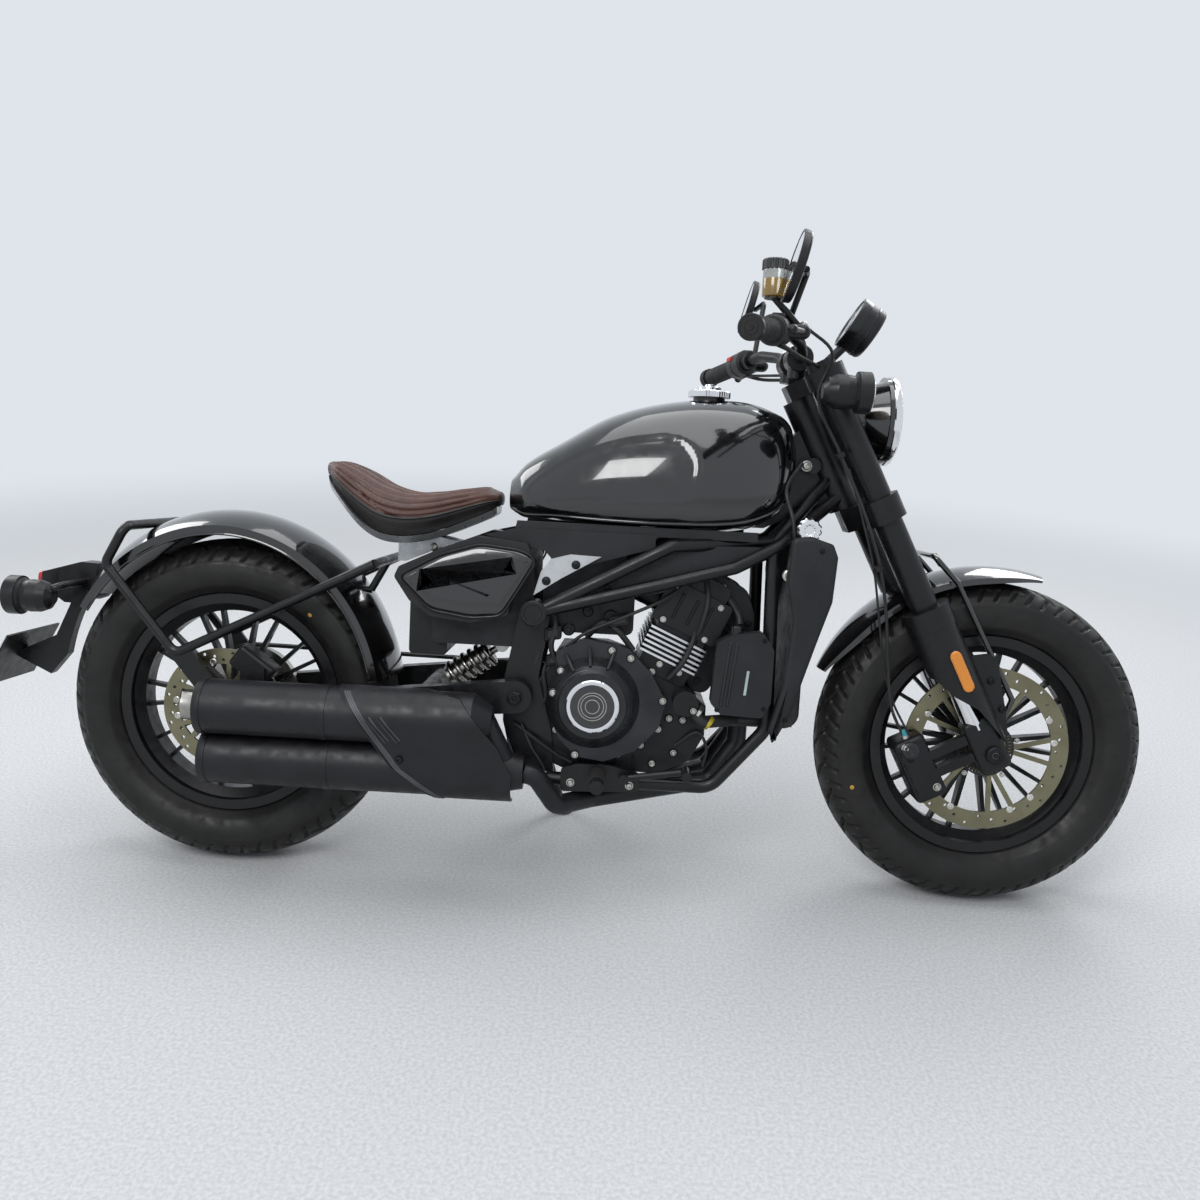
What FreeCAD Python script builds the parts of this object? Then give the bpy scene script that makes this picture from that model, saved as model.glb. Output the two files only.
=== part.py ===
import FreeCAD, Part
import math
import os

# Cruiser motorcycle with a parallel twin engine, parked on its side stand.
# Every piece is drawn upright, X forward from the rear axle, Y to the left and Z up from the road,
# and is then leaned over about the rear tyre's contact with the floor.

V = FreeCAD.Vector

# General clearances
SEAT_GAP = 0.3
RUN_GAP = 0.05
OVERRUN = 20.0

# Stance
LEAN_DEGREES = 10.0
WHEELBASE = 1485.0
RAKE_DEGREES = 27.5
AXLE_LEAD = 8.0
YOKE_OFFSET = 45.0

# Wheels and tyres
REAR_RADIUS = 323.0
REAR_CROWN = 88.0
REAR_WIDTH = 150.0
FRONT_RADIUS = 320.0
FRONT_CROWN = 75.0
FRONT_WIDTH = 130.0
SHOULDER_DEGREES = 48.0
CARCASS = 9.0
RIM_SEAT = 203.2
RIM_FLANGE = 14.0
REAR_RIM_WIDTH = 89.0
FRONT_RIM_WIDTH = 76.0
FLANGE_WALL = 6.0
RIM_WALL = 5.0
RIM_WELL = 17.0
RIM_SHELF = 14.0
HUB_RADIUS = 36.0
SPOKE_PAIRS = 10
SPOKE_ROOT = 10.0
SPOKE_TIP = 7.0
SPOKE_DEPTH = 26.0
SPOKE_TIP_DEPTH = 16.0
SPOKE_SPREAD_DEGREES = 7.0
SPOKE_ROOT_SHARE = 0.25
AXLE_RADIUS = 8.5
AXLE_BORE = 5.5

# Brakes and belt
FRONT_DISC_RADIUS = 160.0
FRONT_DISC_BAND = 33.0
FRONT_DISC_PLANE = -66.0
REAR_DISC_RADIUS = 115.0
REAR_DISC_BAND = 30.0
REAR_DISC_PLANE = -88.0
DISC_THICK = 5.0
CARRIER_RING = 14.0
CARRIER_ARM = 9.0
CARRIER_ARMS = 5
CARRIER_FORK_DEGREES = 11.0
DISC_HOLE = 3.2
DISC_HOLE_ROWS = 3
DISC_HOLE_SETS = 12
BELT_PLANE = 90.0
BELT_WIDTH = 20.0
BELT_THICK = 6.0
REAR_PULLEY_RADIUS = 92.0
FRONT_PULLEY_RADIUS = 36.0
FRONT_PULLEY_X = 640.0
FRONT_PULLEY_Z = 372.0
BELT_CLEARANCE = 0.6

# Fork and steering head
FORK_HALF_SPACING = 97.0
FORK_TUBE = 27.0
STANCHION = 20.5
FORK_TUBE_LOW = 268.0
FORK_TUBE_TOP = 812.0
UPPER_YOKE_LOW = 766.0
UPPER_YOKE_TALL = 32.0
LOWER_YOKE_LOW = 490.0
LOWER_YOKE_TALL = 46.0
HEAD_TUBE_RADIUS = 31.0
STEM_RADIUS = 14.0
YOKE_WALL = 11.0
FOOT_WIDTH = 42.0

# Swingarm and rear suspension
PIVOT_X = 572.0
PIVOT_Z = 385.0
SWINGARM_INNER = 112.0
SWINGARM_WALL = 30.0
SWINGARM_DEEP_FRONT = 62.0
SWINGARM_DEEP_REAR = 44.0

# Frame tubes
TRELLIS_RADIUS = 12.0
TRELLIS_PLANE = 138.0
CRADLE_RADIUS = 13.0
CRADLE_PLANE = 116.0
NODE_CAP_X = 600.0
NODE_CAP_Z = 546.0
NODE_CAP_RADIUS = 25.0

# Engine
ENGINE_HALF_WIDTH = 100.0
CRANKCASE_REAR = 600.0
CRANKCASE_LENGTH = 335.0
CRANKCASE_LOW = 243.0
CRANKCASE_TALL = 227.0
CLUTCH_X = 719.0
CLUTCH_Z = 382.0
CLUTCH_DEPTH = 70.0
CYLINDER_TILT_DEGREES = 23.6
CYLINDER_X = 842.0
CYLINDER_Z = 430.0
CYLINDER_HALF_WIDTH = 104.0
BARREL_TALL = 98.0
HEAD_TALL = 84.0
FIN_COUNT = 6
FIN_THICK = 3.2
FIN_REACH = 9.0


LEAN = math.radians(LEAN_DEGREES)
RAKE = math.radians(RAKE_DEGREES)
CROWN_RISE = REAR_CROWN + (REAR_RADIUS - REAR_CROWN) * math.cos(LEAN)
FRONT_RISE = FRONT_CROWN + (FRONT_RADIUS - FRONT_CROWN) * math.cos(LEAN)
FRONT_AXLE_Z = REAR_RADIUS + (FRONT_RISE - CROWN_RISE) / math.cos(LEAN)
FORK_UP = V(-math.sin(RAKE), 0, math.cos(RAKE))
FORK_AHEAD = V(math.cos(RAKE), 0, math.sin(RAKE))
FRONT_AXLE = V(WHEELBASE, 0, FRONT_AXLE_Z)
REAR_AXLE = V(0, 0, REAR_RADIUS)
FORK_FOOT = FRONT_AXLE - FORK_AHEAD * AXLE_LEAD
EGG_FOOT_SHARE = 0.06
EGG_WAIST_SHARE = 0.42
EGG_CROWN_SHARE = 0.14
BULGE_SHARE = 0.55

# Swingarm, rear axle and shock
SPOOL_X = 80.0
SPOOL_Z = 331.7
SPOOL_HOLE = 4.0
SPOOL_DEEP = 20.0
BRACE_X = 395.0
PIVOT_SHAFT = 12.0
PIVOT_TUBE = 78.0
SPACER_RADIUS = 14.0
NUT_RADIUS = 15.0
NUT_THICK = 7.0
SHOCK_TOP_X = 530.0
SHOCK_EYE = 13.0
SHOCK_ROD = 7.0
SHOCK_COILS = 6
SHOCK_COIL_RADIUS = 24.0
SHOCK_WIRE = 5.0
REAR_LUG_X = 44.0
REAR_LUG_LONG = 46.0
REAR_LUG_OUTWARD = 8.0
REAR_CALIPER_DEGREES = 54.0
REAR_CALIPER_INSET = 10.0
REAR_CALIPER_LONG = 82.0
REAR_CALIPER_TALL = 46.0
CALIPER_INWARD = 26.0
CALIPER_ROUND_SHARE = 0.16
DISC_CLEARANCE = 5.0

# Frame
TRELLIS_KNEE_X = 850.0
TRELLIS_KNEE_Z = 684.0
TRELLIS_RUN_X = 1048.0
TRELLIS_RUN_Z = 697.0
TRELLIS_RUN_PLANE = 70.0
TRELLIS_LOWER_X = 969.0
TRELLIS_LOWER_Z = 650.0
TRELLIS_RISE_X = 1050.0
TRELLIS_RISE_Z = 692.0
HEAD_LOW = 562.0
HEAD_HIGH = 715.0
UPPER_TUBE_UP = 605.0
HEAD_BOSS_UP = 638.0
HEAD_BOSS_RADIUS = 15.0
HEAD_BOSS_REACH = 44.0
TRELLIS_BEND = 28.0
CRADLE_TOP_X = 1040.0
CRADLE_FRONT_X = 1050.0
CRADLE_KNEE_Z = 345.0
CRADLE_TOE_X = 950.0
CRADLE_LOW_Z = 226.0
CRADLE_REAR_X = 600.0
CRADLE_BEND = 45.0
GUSSET_DEEP = 62.0
SPINE_HALF_WIDTH = 18.0
SPINE_TAIL_X = 730.0
SPINE_TAIL_Z = 768.0
SPINE_DEEP = 46.0
PIVOT_PLATE_X = 548.0
PIVOT_PLATE_LOW = 212.0
PIVOT_PLATE_LONG = 104.0
PIVOT_PLATE_TALL = 345.0
PIVOT_PLATE_WALL = 9.0
PIVOT_PLATE_SHARES = [(0.3, 0.0), (1.0, 0.0), (0.9, 0.3), (0.62, 0.6), (0.8, 1.0), (0.25, 1.0),
                      (0.0, 0.6), (0.0, 0.35)]

# Side stand
STAND_X = 610.0
STAND_PLANE = 150.0
STAND_Z = 232.0
STAND_AXIS_DEGREES = 30.0
STAND_FORWARD_DEGREES = 12.0
STAND_EYE = 17.0
STAND_HALF_EYE = 11.0
STAND_PIN = 6.0
STAND_LEG = 10.0
STAND_FOOT = 24.0
STAND_FOOT_THICK = 9.0
STAND_LUG_REACH = 44.0
STAND_HEAD_THICK = 4.0
STAND_TRAVEL_DEGREES = 102.0

# Engine
CRANKCASE_SHARES = [(0.0, 0.62), (0.02, 0.3), (0.1, 0.06), (0.2, 0.0), (0.75, 0.0), (0.92, 0.12),
                    (1.0, 0.35), (1.0, 0.6)]
CRANKCASE_BACK_SHARES = [(0.42, 1.0), (0.15, 1.0)]
CASE_CORNER = 14.0
DECK_HALF = 72.0
PULLEY_POCKET = 108.0
GENERATOR_X = 800.0
GENERATOR_Z = 350.0
GENERATOR_RADIUS = 84.0
GENERATOR_DEEP = 48.0
PUMP_X = 893.0
PUMP_Z = 390.0
PUMP_RADIUS = 24.0
PUMP_DEEP = 42.0
HOSE_RADIUS = 12.0
HOSE_DIP = 36.0
HOSE_STEP = 34.0
HOSE_RUN = 102.0
HOSE_BEND = 18.0
HOSE_CLEARANCE = 3.0
AIRBOX_REAR = 612.0
AIRBOX_LOW = 506.0
AIRBOX_LONG = 176.0
AIRBOX_TALL = 156.0
AIRBOX_HALF_WIDTH = 88.0
AIRBOX_SHARES = [(0.0, 0.0), (1.0, 0.0), (1.0, 0.62), (0.86, 1.0), (0.25, 1.0), (0.0, 0.72)]
THROTTLE_RADIUS = 24.0
THROTTLE_LONG = 76.0
THROTTLE_UP = 132.0
BARREL_HALF_DEEP = 50.0
FIN_LOW = 34.0
FIN_PITCH = 9.6
HEAD_HALF_DEEP = 66.0
CAM_COVER_TALL = 30.0
CAM_COVER_HALF_DEEP = 50.0
CLUTCH_PLATE_SHARES = [(0.1, 0.18), (0.26, 0.03), (0.5, 0.0), (0.76, 0.1), (0.95, 0.3), (1.0, 0.52),
                       (0.87, 0.74), (0.66, 0.94), (0.3, 1.0), (0.04, 0.88), (0.12, 0.64), (0.0, 0.4)]
CLUTCH_PLATE_X = 634.0
CLUTCH_PLATE_LOW = 269.0
CLUTCH_PLATE_LONG = 222.0
CLUTCH_PLATE_TALL = 233.0
CLUTCH_PLATE_DEEP = 34.0
CLUTCH_RING = 48.0
CLUTCH_RING_WIDE = 5.0
CLUTCH_RING_PROUD = 4.0
CLUTCH_DOME = 88.0

# Exhaust
HEADER_RADIUS = 19.0
HEADER_PLANE = 45.0
PORT_UP = 138.0
HEADER_TURN_X = 1004.0
HEADER_TURN_Z = 520.0
HEADER_KNEE_Z = 300.0
HEADER_TOE_X = 955.0
HEADER_LOW_Z = 222.0
HEADER_UNDER_Z = 184.0
HEADER_RUN_X = 725.0
HEADER_RUN_PLANE = 88.0
HEADER_RISE_X = 660.0
HEADER_RISE_PLANE = 152.0
HEADER_ELBOW_X = 622.0
HEADER_ELBOW_Z = 246.0
HEADER_BEND = 28.0
CAN_REAR = 5.0
CAN_LENGTH = 500.0
CAN_RADIUS = 50.0
UPPER_CAN_PLANE = -203.0
UPPER_CAN_Z = 351.0
LOWER_CAN_PLANE = -180.0
LOWER_CAN_Z = 252.0
COLLECTOR_X = 598.0
COLLECTOR_RADIUS = 30.0
TIP_RADIUS = 27.0
TIP_REACH = 30.0
TIP_WALL = 3.0
CAN_TAPER = 34.0
NECK_RADIUS = 27.0
NECK_SHARE = 0.85
COVER_SHARES = [(0.0, 1.0), (0.42, 1.0), (0.7, 0.93), (0.92, 0.55), (1.0, 0.3), (1.0, 0.0), (0.58, 0.0),
                (0.33, 0.3), (0.1, 0.8)]
COVER_REAR = 257.0
COVER_LONG = 322.0
COVER_LOW = 196.0
COVER_TALL = 214.0
COVER_WALL = 4.0

# Radiator and its covers
RADIATOR_Z = 520.0
RADIATOR_TALL = 330.0
RADIATOR_DEEP = 32.0
RADIATOR_HALF_WIDTH = 131.0
RADIATOR_SLOPE_SHARE = 0.145
RADIATOR_LEAN = math.atan(RADIATOR_SLOPE_SHARE)
RADIATOR_X = (CRADLE_FRONT_X + CRADLE_RADIUS + 2 * SEAT_GAP + RADIATOR_DEEP / 2 * math.cos(RADIATOR_LEAN)
              + RADIATOR_TALL / 2 * math.sin(RADIATOR_LEAN))
SHROUD_X = 1046.0
SHROUD_LOW = 321.0
SHROUD_LONG = 113.0
SHROUD_TALL = 394.0
SHROUD_DEEP = 20.0
SHROUD_CORNER = 9.0
SHROUD_SHARES = [(0.2, 0.99), (0.52, 1.0), (0.87, 0.97), (0.96, 0.91), (0.92, 0.7), (0.72, 0.51),
                 (0.36, 0.15), (0.1, 0.0), (0.03, 0.08), (0.2, 0.28), (0.3, 0.6), (0.17, 0.78)]
COOLANT_X = 937.0
COOLANT_LOW = 374.0
COOLANT_LONG = 112.0
COOLANT_TALL = 161.0
COOLANT_DEEP = 30.0
COOLANT_SHARES = [(0.18, 0.02), (0.86, 0.0), (1.0, 0.18), (1.0, 0.8), (0.8, 1.0), (0.3, 0.96),
                  (0.06, 0.86), (0.0, 0.15)]

# Tank, seat and covers
TANK_REAR = 538.0
TANK_LONG = 543.0
TANK_LOW = 706.0
TANK_TALL = 260.0
TANK_HALF_WIDTH = 150.0
TANK_STATIONS_SHARES = [
    (0.0, 0.1, 0.34, 0.28),
    (0.05, 0.05, 0.46, 0.5),
    (0.16, 0.04, 0.61, 0.72),
    (0.35, 0.01, 0.84, 0.92),
    (0.58, 0.0, 0.97, 1.0),
    (0.8, 0.03, 0.99, 0.93),
    (0.92, 0.13, 0.93, 0.76),
    (0.98, 0.27, 0.84, 0.52),
    (1.0, 0.4, 0.72, 0.25),
]
CAP_X = 912.0
CAP_RADIUS = 40.0
CAP_TALL = 31.0
TANK_FOOT_SHARE = 0.8
TANK_CROWN_SHARE = 0.66
CAP_SINK = 7.0
CAP_FOOT_SHARE = 0.78
CAP_SHARES = [(0.0, 0.0), (CAP_FOOT_SHARE, 0.0), (CAP_FOOT_SHARE, 0.36), (1.0, 0.5), (1.0, 0.8), (0.78, 1.0),
              (0.0, 1.0)]
SEAT_REAR = 184.0
SEAT_LONG = 328.0
SEAT_LOW = 668.0
SEAT_TALL = 140.0
SEAT_HALF_WIDTH = 132.0
SEAT_STATIONS_SHARES = [
    (0.0, 0.82, 1.0, 0.35),
    (0.08, 0.62, 1.0, 0.72),
    (0.2, 0.34, 0.9, 0.95),
    (0.35, 0.1, 0.72, 1.0),
    (0.5, 0.06, 0.63, 0.97),
    (0.65, 0.12, 0.65, 0.84),
    (0.8, 0.26, 0.71, 0.66),
    (0.93, 0.4, 0.75, 0.5),
    (1.0, 0.5, 0.7, 0.34),
]
PAN_WALL = 13.0
PAN_GAP = 1.5
ARM_WALL = 8.0
SEAT_FOOT_SHARE = 0.86
SEAT_SHOULDER_SHARE = 0.8
PAN_TOP_SHARE = 0.98
PAN_FOOT_SHARE = 0.84
ARM_HALF_WIDTH = 36.0
ARM_X = 330.0
ARM_Z = 622.0
BOX_X = 404.0
BOX_LOW = 474.0
BOX_LONG = 192.0
BOX_TALL = 178.0
BOX_ARM = 60.0
BOX_STEP_SHARE = 0.33
BOX_SHARES = [(0.0, 0.0), (1.0, 0.0), (1.0, 1.0), (0.0, 1.0)]
TRAY_REACH = 46.0
TRAY_DROP = 26.0
TRAY_TALL = 132.0
TRAY_HALF_WIDTH = 84.0
SIDE_COVER_X = 339.0
SIDE_COVER_LOW = 523.0
SIDE_COVER_LONG = 273.0
SIDE_COVER_TALL = 161.0
SIDE_COVER_DEEP = 42.0
SIDE_COVER_SHARES = [(0.0, 0.49), (0.11, 0.22), (0.26, 0.05), (0.53, 0.0), (0.78, 0.1), (0.82, 0.39),
                     (0.92, 0.81), (0.9, 0.95), (0.54, 1.0), (0.31, 0.84), (0.03, 0.61)]
SIDE_PANEL_PROUD = 5.0
SIDE_PANEL_SHARES = [(0.07, 0.5), (0.15, 0.28), (0.28, 0.13), (0.53, 0.08), (0.74, 0.16), (0.78, 0.42),
                     (0.87, 0.8), (0.84, 0.88), (0.55, 0.92), (0.34, 0.77), (0.1, 0.6)]
PANEL_X = 500.0
PANEL_LOW = 640.0
PANEL_LONG = 320.0
PANEL_TALL = 62.0
PANEL_DEEP = 14.0
PANEL_SHARES = [(0.36, 0.35), (0.42, 0.0), (0.62, 0.0), (1.0, 0.6), (1.0, 1.0), (0.2, 1.0), (0.0, 0.75)]
PANEL_INNER = 108.0
INFILL_X = 690.0
INFILL_LOW = 590.0
INFILL_LONG = 345.0
INFILL_TALL = 104.0
INFILL_INNER = 116.0
INFILL_SHARES = [(0.0, 0.0), (0.3, 0.13), (0.83, 0.55), (0.98, 0.96), (0.5, 0.92), (0.46, 0.88)]
BRACKET_PLATE_X = 597.0
BRACKET_PLATE_LOW = 578.0
BRACKET_PLATE_LONG = 124.0
BRACKET_PLATE_TALL = 80.0
BRACKET_PLATE_WALL = 5.0
BRACKET_PLATE_SHARES = [(0.0, 0.0), (0.1, 0.57), (0.24, 0.87), (0.53, 1.0), (1.0, 0.98), (0.41, 0.43)]

# Rear fender, its struts and the tail
FENDER_X = -8.0
FENDER_CLEAR_LONG = 20.0
FENDER_CLEAR_RISE = 58.0
FENDER_HALF_LONG = REAR_RADIUS + FENDER_CLEAR_LONG
FENDER_RISE = REAR_RADIUS + FENDER_CLEAR_RISE
FENDER_WALL = 3.0
FENDER_HALF_WIDTH = 96.0
FENDER_DROP = 46.0
FENDER_FRONT_DEGREES = 11.0
FENDER_REAR_DEGREES = 149.0
FENDER_STEPS = 8
SHOULDER_DROP_SHARE = 0.62
BELT_NOTCH_Z = 430.0
STRUT_RADIUS = 9.0
STRUT_PLANE = 128.0
STRUT_HOOP_DEGREES = 118.0
STRUT_REAR_X = -212.0
STRUT_REAR_Z = 594.0
STRUT_KNEE_X = -78.0
STRUT_KNEE_Z = 430.0
STRUT_FRONT_X = 296.0
STRUT_FRONT_Z = 620.0
STRUT_BEND = 20.0
STRUT_PLATE_WALL = 8.0
STRUT_PLATE_X = -96.0
STRUT_PLATE_LONG = 112.0
STRUT_PLATE_SHARES = [(0.68, 0.0), (1.0, 0.0), (0.86, 0.35), (0.45, 1.0), (0.0, 1.0)]
STRUT_POST_DEGREES = 38.0
TAIL_HALF_WIDTH = 22.0
TAIL_X = -391.0
TAIL_LOW = 500.0
TAIL_LONG = 112.0
TAIL_TALL = 84.0
TAIL_SHARES = [(0.0, 0.4), (0.0, 0.72), (0.7, 1.0), (1.0, 0.98), (0.93, 0.25), (0.75, 0.0), (0.4, 0.02)]
PLATE_ARM_SHARES = [(0.5, 0.1), (0.85, 0.1), (0.62, -0.9), (0.1, -1.75), (-0.6, -1.3), (0.2, -0.8)]
PLATE_HALF_WIDTH = 92.0
PLATE_TALL = 118.0
PLATE_WALL = 4.0
PLATE_X = -447.0
PLATE_Z = 388.0
PLATE_TILT_DEGREES = 28.0
CUT_STEPS = 60
CUP_RADIUS = 36.0
CUP_DEEP = 84.0
CUP_SHARES = [(0.0, 0.0), (0.38, 0.0), (0.68, 0.1), (0.84, 0.28), (0.86, 0.5), (0.8, 0.66), (1.0, 0.74),
              (1.0, 1.0), (0.0, 1.0)]
CUP_PLANE = 112.0
REAR_CUP_X = -401.0
REAR_CUP_Z = 524.0
STALK_RADIUS = 7.0
STALK_X = -306.0
STALK_Z = 545.0
LAMP_RADIUS = 13.2
LAMP_UP_SHARE = 0.56
LAMP_DEEP = 12.0

# Foot controls
PEG_X = 735.0
PEG_Z = 244.0
PEG_RADIUS = 13.0
PEG_LONG = 88.0
PEG_PLATE_X = 665.0
PEG_PLATE_LOW = 208.0
PEG_PLATE_LONG = 150.0
PEG_PLATE_TALL = 55.0
PEG_PLATE_WALL = 9.0
PEG_PLATE_SHARES = [(0.0, 0.0), (1.0, 0.1), (1.0, 0.75), (0.6, 1.0), (0.2, 1.0), (0.0, 0.8)]
PEDAL_REACH = 165.0
PEDAL_PIVOT = 50.0
PEDAL_RADIUS = 6.5
PEDAL_HUB = 9.5
PEDAL_PAD = 38.0
PEDAL_Z = 262.0

# Fork, yokes and what turns with them
YOKE_DEEP = 84.0
YOKE_AHEAD = -20.0
FOOT_LOW = -34.0
FOOT_TALL = 110.0
FOOT_DEEP = 62.0
FOOT_AHEAD = 4.0
FOOT_ROUND = 10.5
GUARD_INBOARD = 14.0
GUARD_WALL = 4.0
GUARD_LOW = 22.0
GUARD_HIGH = 290.0
COLLAR_TALL = 40.0
COLLAR_REACH = 13.0
GUARD_OUTLINE = [(290.0, -60.0), (190.0, -60.0), (180.0, -38.0), (138.0, -20.0), (99.0, 10.0), (22.0, 34.0),
                 (22.0, 60.0), (290.0, 60.0)]
COLLAR_OUTLINE = [(200.0, -70.0), (200.0, 70.0), (380.0, 70.0), (380.0, -70.0)]
BRACKET_INNER = 84.0
BRACKET_WALL = 6.0
BRACKET_OUTLINE = [(-10.0, 12.0), (8.0, 45.0), (18.0, 53.0), (65.0, 67.0), (159.0, 90.0), (176.0, 80.0),
                   (186.0, 48.0), (150.0, 30.0), (60.0, 20.0)]
FRONT_CALIPER_UP = 28.0
FRONT_CALIPER_BACK = -128.0
FRONT_CALIPER_LONG = 128.0
FRONT_CALIPER_TALL = 62.0
CALIPER_OUTWARD = 46.0
FRONT_LUG = 18.0
FRONT_FENDER_RADIUS = 351.0
FRONT_FENDER_HALF_WIDTH = 67.0
FRONT_FENDER_DROP = 30.0
FRONT_FENDER_FRONT_DEGREES = 74.0
FRONT_FENDER_REAR_DEGREES = 158.0
STAY_RADIUS = 5.5
STAY_PLANE = 76.0
STAY_TOP_BACK = 133.0
STAY_TOP_X = WHEELBASE - STAY_TOP_BACK
STAY_TOP_Z = 688.0
STAY_KNEE_BACK = 85.0
STAY_KNEE_X = WHEELBASE - STAY_KNEE_BACK
STAY_KNEE_Z = 640.0
STAY_LOW_BACK = -39.0
STAY_LOW_X = WHEELBASE - STAY_LOW_BACK
STAY_LOW_Z = 420.0
STAY_BEND = 12.0
FENDER_TIP_SHARE = 0.25
FENDER_TIP_WIDTH_SHARE = 0.45
STAY_TIE_BACK = 89.0
STAY_TIE_X = WHEELBASE - STAY_TIE_BACK
STAY_TIE_Z = 640.0

# Handlebar and controls
BAR_RADIUS = 11.0
RISER_RADIUS = 17.0
RISER_PLANE = 45.0
RISER_LIP = 3.0
RISER_LIFT = 4.0
BAR_Z = 1046.0
BAR_CLAMP_BACK = 413.0
BAR_CLAMP_X = WHEELBASE - BAR_CLAMP_BACK
BAR_KNEE_PLANE = 122.0
BAR_KNEE_BACK = 425.0
BAR_KNEE_X = WHEELBASE - BAR_KNEE_BACK
BAR_KNEE_Z = 1066.0
BAR_SHOULDER_PLANE = 176.0
BAR_SHOULDER_BACK = 455.0
BAR_SHOULDER_X = WHEELBASE - BAR_SHOULDER_BACK
BAR_SHOULDER_Z = 1075.0
BAR_END_PLANE = 387.0
BAR_END_BACK = 541.0
BAR_END_X = WHEELBASE - BAR_END_BACK
BAR_END_Z = 1048.0
BAR_BEND = 40.0
GRIP_RADIUS = 17.0
GRIP_LONG = 118.0
WEIGHT_RADIUS = 21.0
WEIGHT_THICK = 16.0
SWITCH_LONG = 46.0
SWITCH_RADIUS = 25.0
LEVER_RADIUS = 5.5
LEVER_AHEAD = 62.0
LEVER_PIVOT_SHARE = 0.75
LEVER_BALL = 8.2
RESERVOIR_RADIUS = 19.0
RESERVOIR_TALL = 60.0
RESERVOIR_RISE = 55.0
RESERVOIR_BACK = 54.0
RESERVOIR_STEM = 6.0
MASTER_RADIUS = 13.0
MIRROR_RADIUS = 58.0
MIRROR_THICK = 14.0
MIRROR_BACK = 477.0
MIRROR_X = WHEELBASE - MIRROR_BACK
MIRROR_Z = 1157.0
MIRROR_LEFT_RISE = 44.0
MIRROR_PLANE = 330.0
MIRROR_TILT_DEGREES = 14.0
MIRROR_STEM = 5.5
MIRROR_BED = 2.0
MIRROR_ROUND = 4.6
MIRROR_CLAMP = 17.6
MIRROR_STEM_BACK = 445.0
MIRROR_STEM_X = WHEELBASE - MIRROR_STEM_BACK
HEADLIGHT_BACK = 217.0
HEADLIGHT_X = WHEELBASE - HEADLIGHT_BACK
HEADLIGHT_Z = 940.0
HEADLIGHT_RADIUS = 84.0
HEADLIGHT_DEEP = 84.0
HEADLIGHT_SHARES = [(0.0, 0.0), (0.48, 0.0), (0.74, 0.25), (0.91, 0.74), (1.0, 0.74), (1.0, 0.94),
                    (0.87, 1.0), (0.0, 1.09)]
HEADLIGHT_ARM = 16.0
POD_BACK = 288.0
POD_X = WHEELBASE - POD_BACK
POD_Z = 1113.0
POD_RADIUS = 50.0
POD_DEEP = 50.0
POD_TILT_DEGREES = 30.0
POD_ARM = 9.0
POD_ROUND = 10.0
FRONT_CUP_BACK = 303.0
FRONT_CUP_X = WHEELBASE - FRONT_CUP_BACK
FRONT_CUP_Z = 976.0
FRONT_CUP_PLANE = 176.0


# Engine
def on_fork(up, ahead=0.0, side=0.0):
    """Point at a height along the fork, ahead of the legs' line and out to one side."""
    return FORK_FOOT + FORK_UP * up + FORK_AHEAD * ahead + V(0, side, 0)


def on_stem(up, ahead=0.0, side=0.0):
    """The same, measured from the steering axis."""
    return on_fork(up, ahead - YOKE_OFFSET, side)


def place_leaned():
    """Placement that leans the upright machine on to its side stand."""
    turn = FreeCAD.Rotation(V(1, 0, 0), -LEAN_DEGREES)
    side_step = (REAR_RADIUS - REAR_CROWN) * math.sin(LEAN)
    centre = V(0, side_step, CROWN_RISE)
    return FreeCAD.Placement(centre - turn.multVec(REAR_AXLE), turn)


def floor_height(side):
    """Height of the leaned floor in the upright frame, at a distance to the side."""
    return REAR_RADIUS + (side * math.sin(LEAN) - CROWN_RISE) / math.cos(LEAN)


def rod(start, end, radius):
    """Round bar between two points."""
    axis = end - start
    return Part.makeCylinder(radius, axis.Length, start, axis)


def cross_bar(x, z, radius, side_from, side_to):
    """Round bar across the machine."""
    return rod(V(x, side_from, z), V(x, side_to, z), radius)


def ball(centre, radius):
    return Part.makeSphere(radius, centre)


def joined(shapes):
    """One solid from pieces that overlap."""
    first = shapes[0]
    if len(shapes) == 1:
        return first
    return first.fuse(shapes[1:]).removeSplitter()


def mirrored(shape):
    """The same piece on the other side of the machine."""
    return shape.mirror(V(0, 0, 0), V(0, 1, 0))


def corner_arc(before, corner, after, radius):
    """Tangent points and middle of the arc that rounds one corner."""
    back = (before - corner).normalize()
    ahead = (after - corner).normalize()
    half = back.getAngle(ahead) / 2
    reach = radius / math.tan(half)
    middle = (back + ahead).normalize()
    inset = radius / math.sin(half) - radius
    return corner + back * reach, corner + middle * inset, corner + ahead * reach


def rounded_path(points, radius):
    """Open wire of straight runs and tangent arcs."""
    edges = []
    here = points[0]
    for before, corner, after in zip(points, points[1:], points[2:]):
        start, middle, end = corner_arc(before, corner, after, radius)
        edges.append(Part.LineSegment(here, start).toShape())
        edges.append(Part.Arc(start, middle, end).toShape())
        here = end
    edges.append(Part.LineSegment(here, points[-1]).toShape())
    return Part.Wire(edges)


def bent_tube(points, radius, bend):
    """Round tube along straight runs joined by tangent arcs."""
    path = rounded_path(points, bend)
    ring = Part.Wire(Part.makeCircle(radius, points[0], points[1] - points[0]))
    return path.makePipeShell([ring], True, False)


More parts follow.
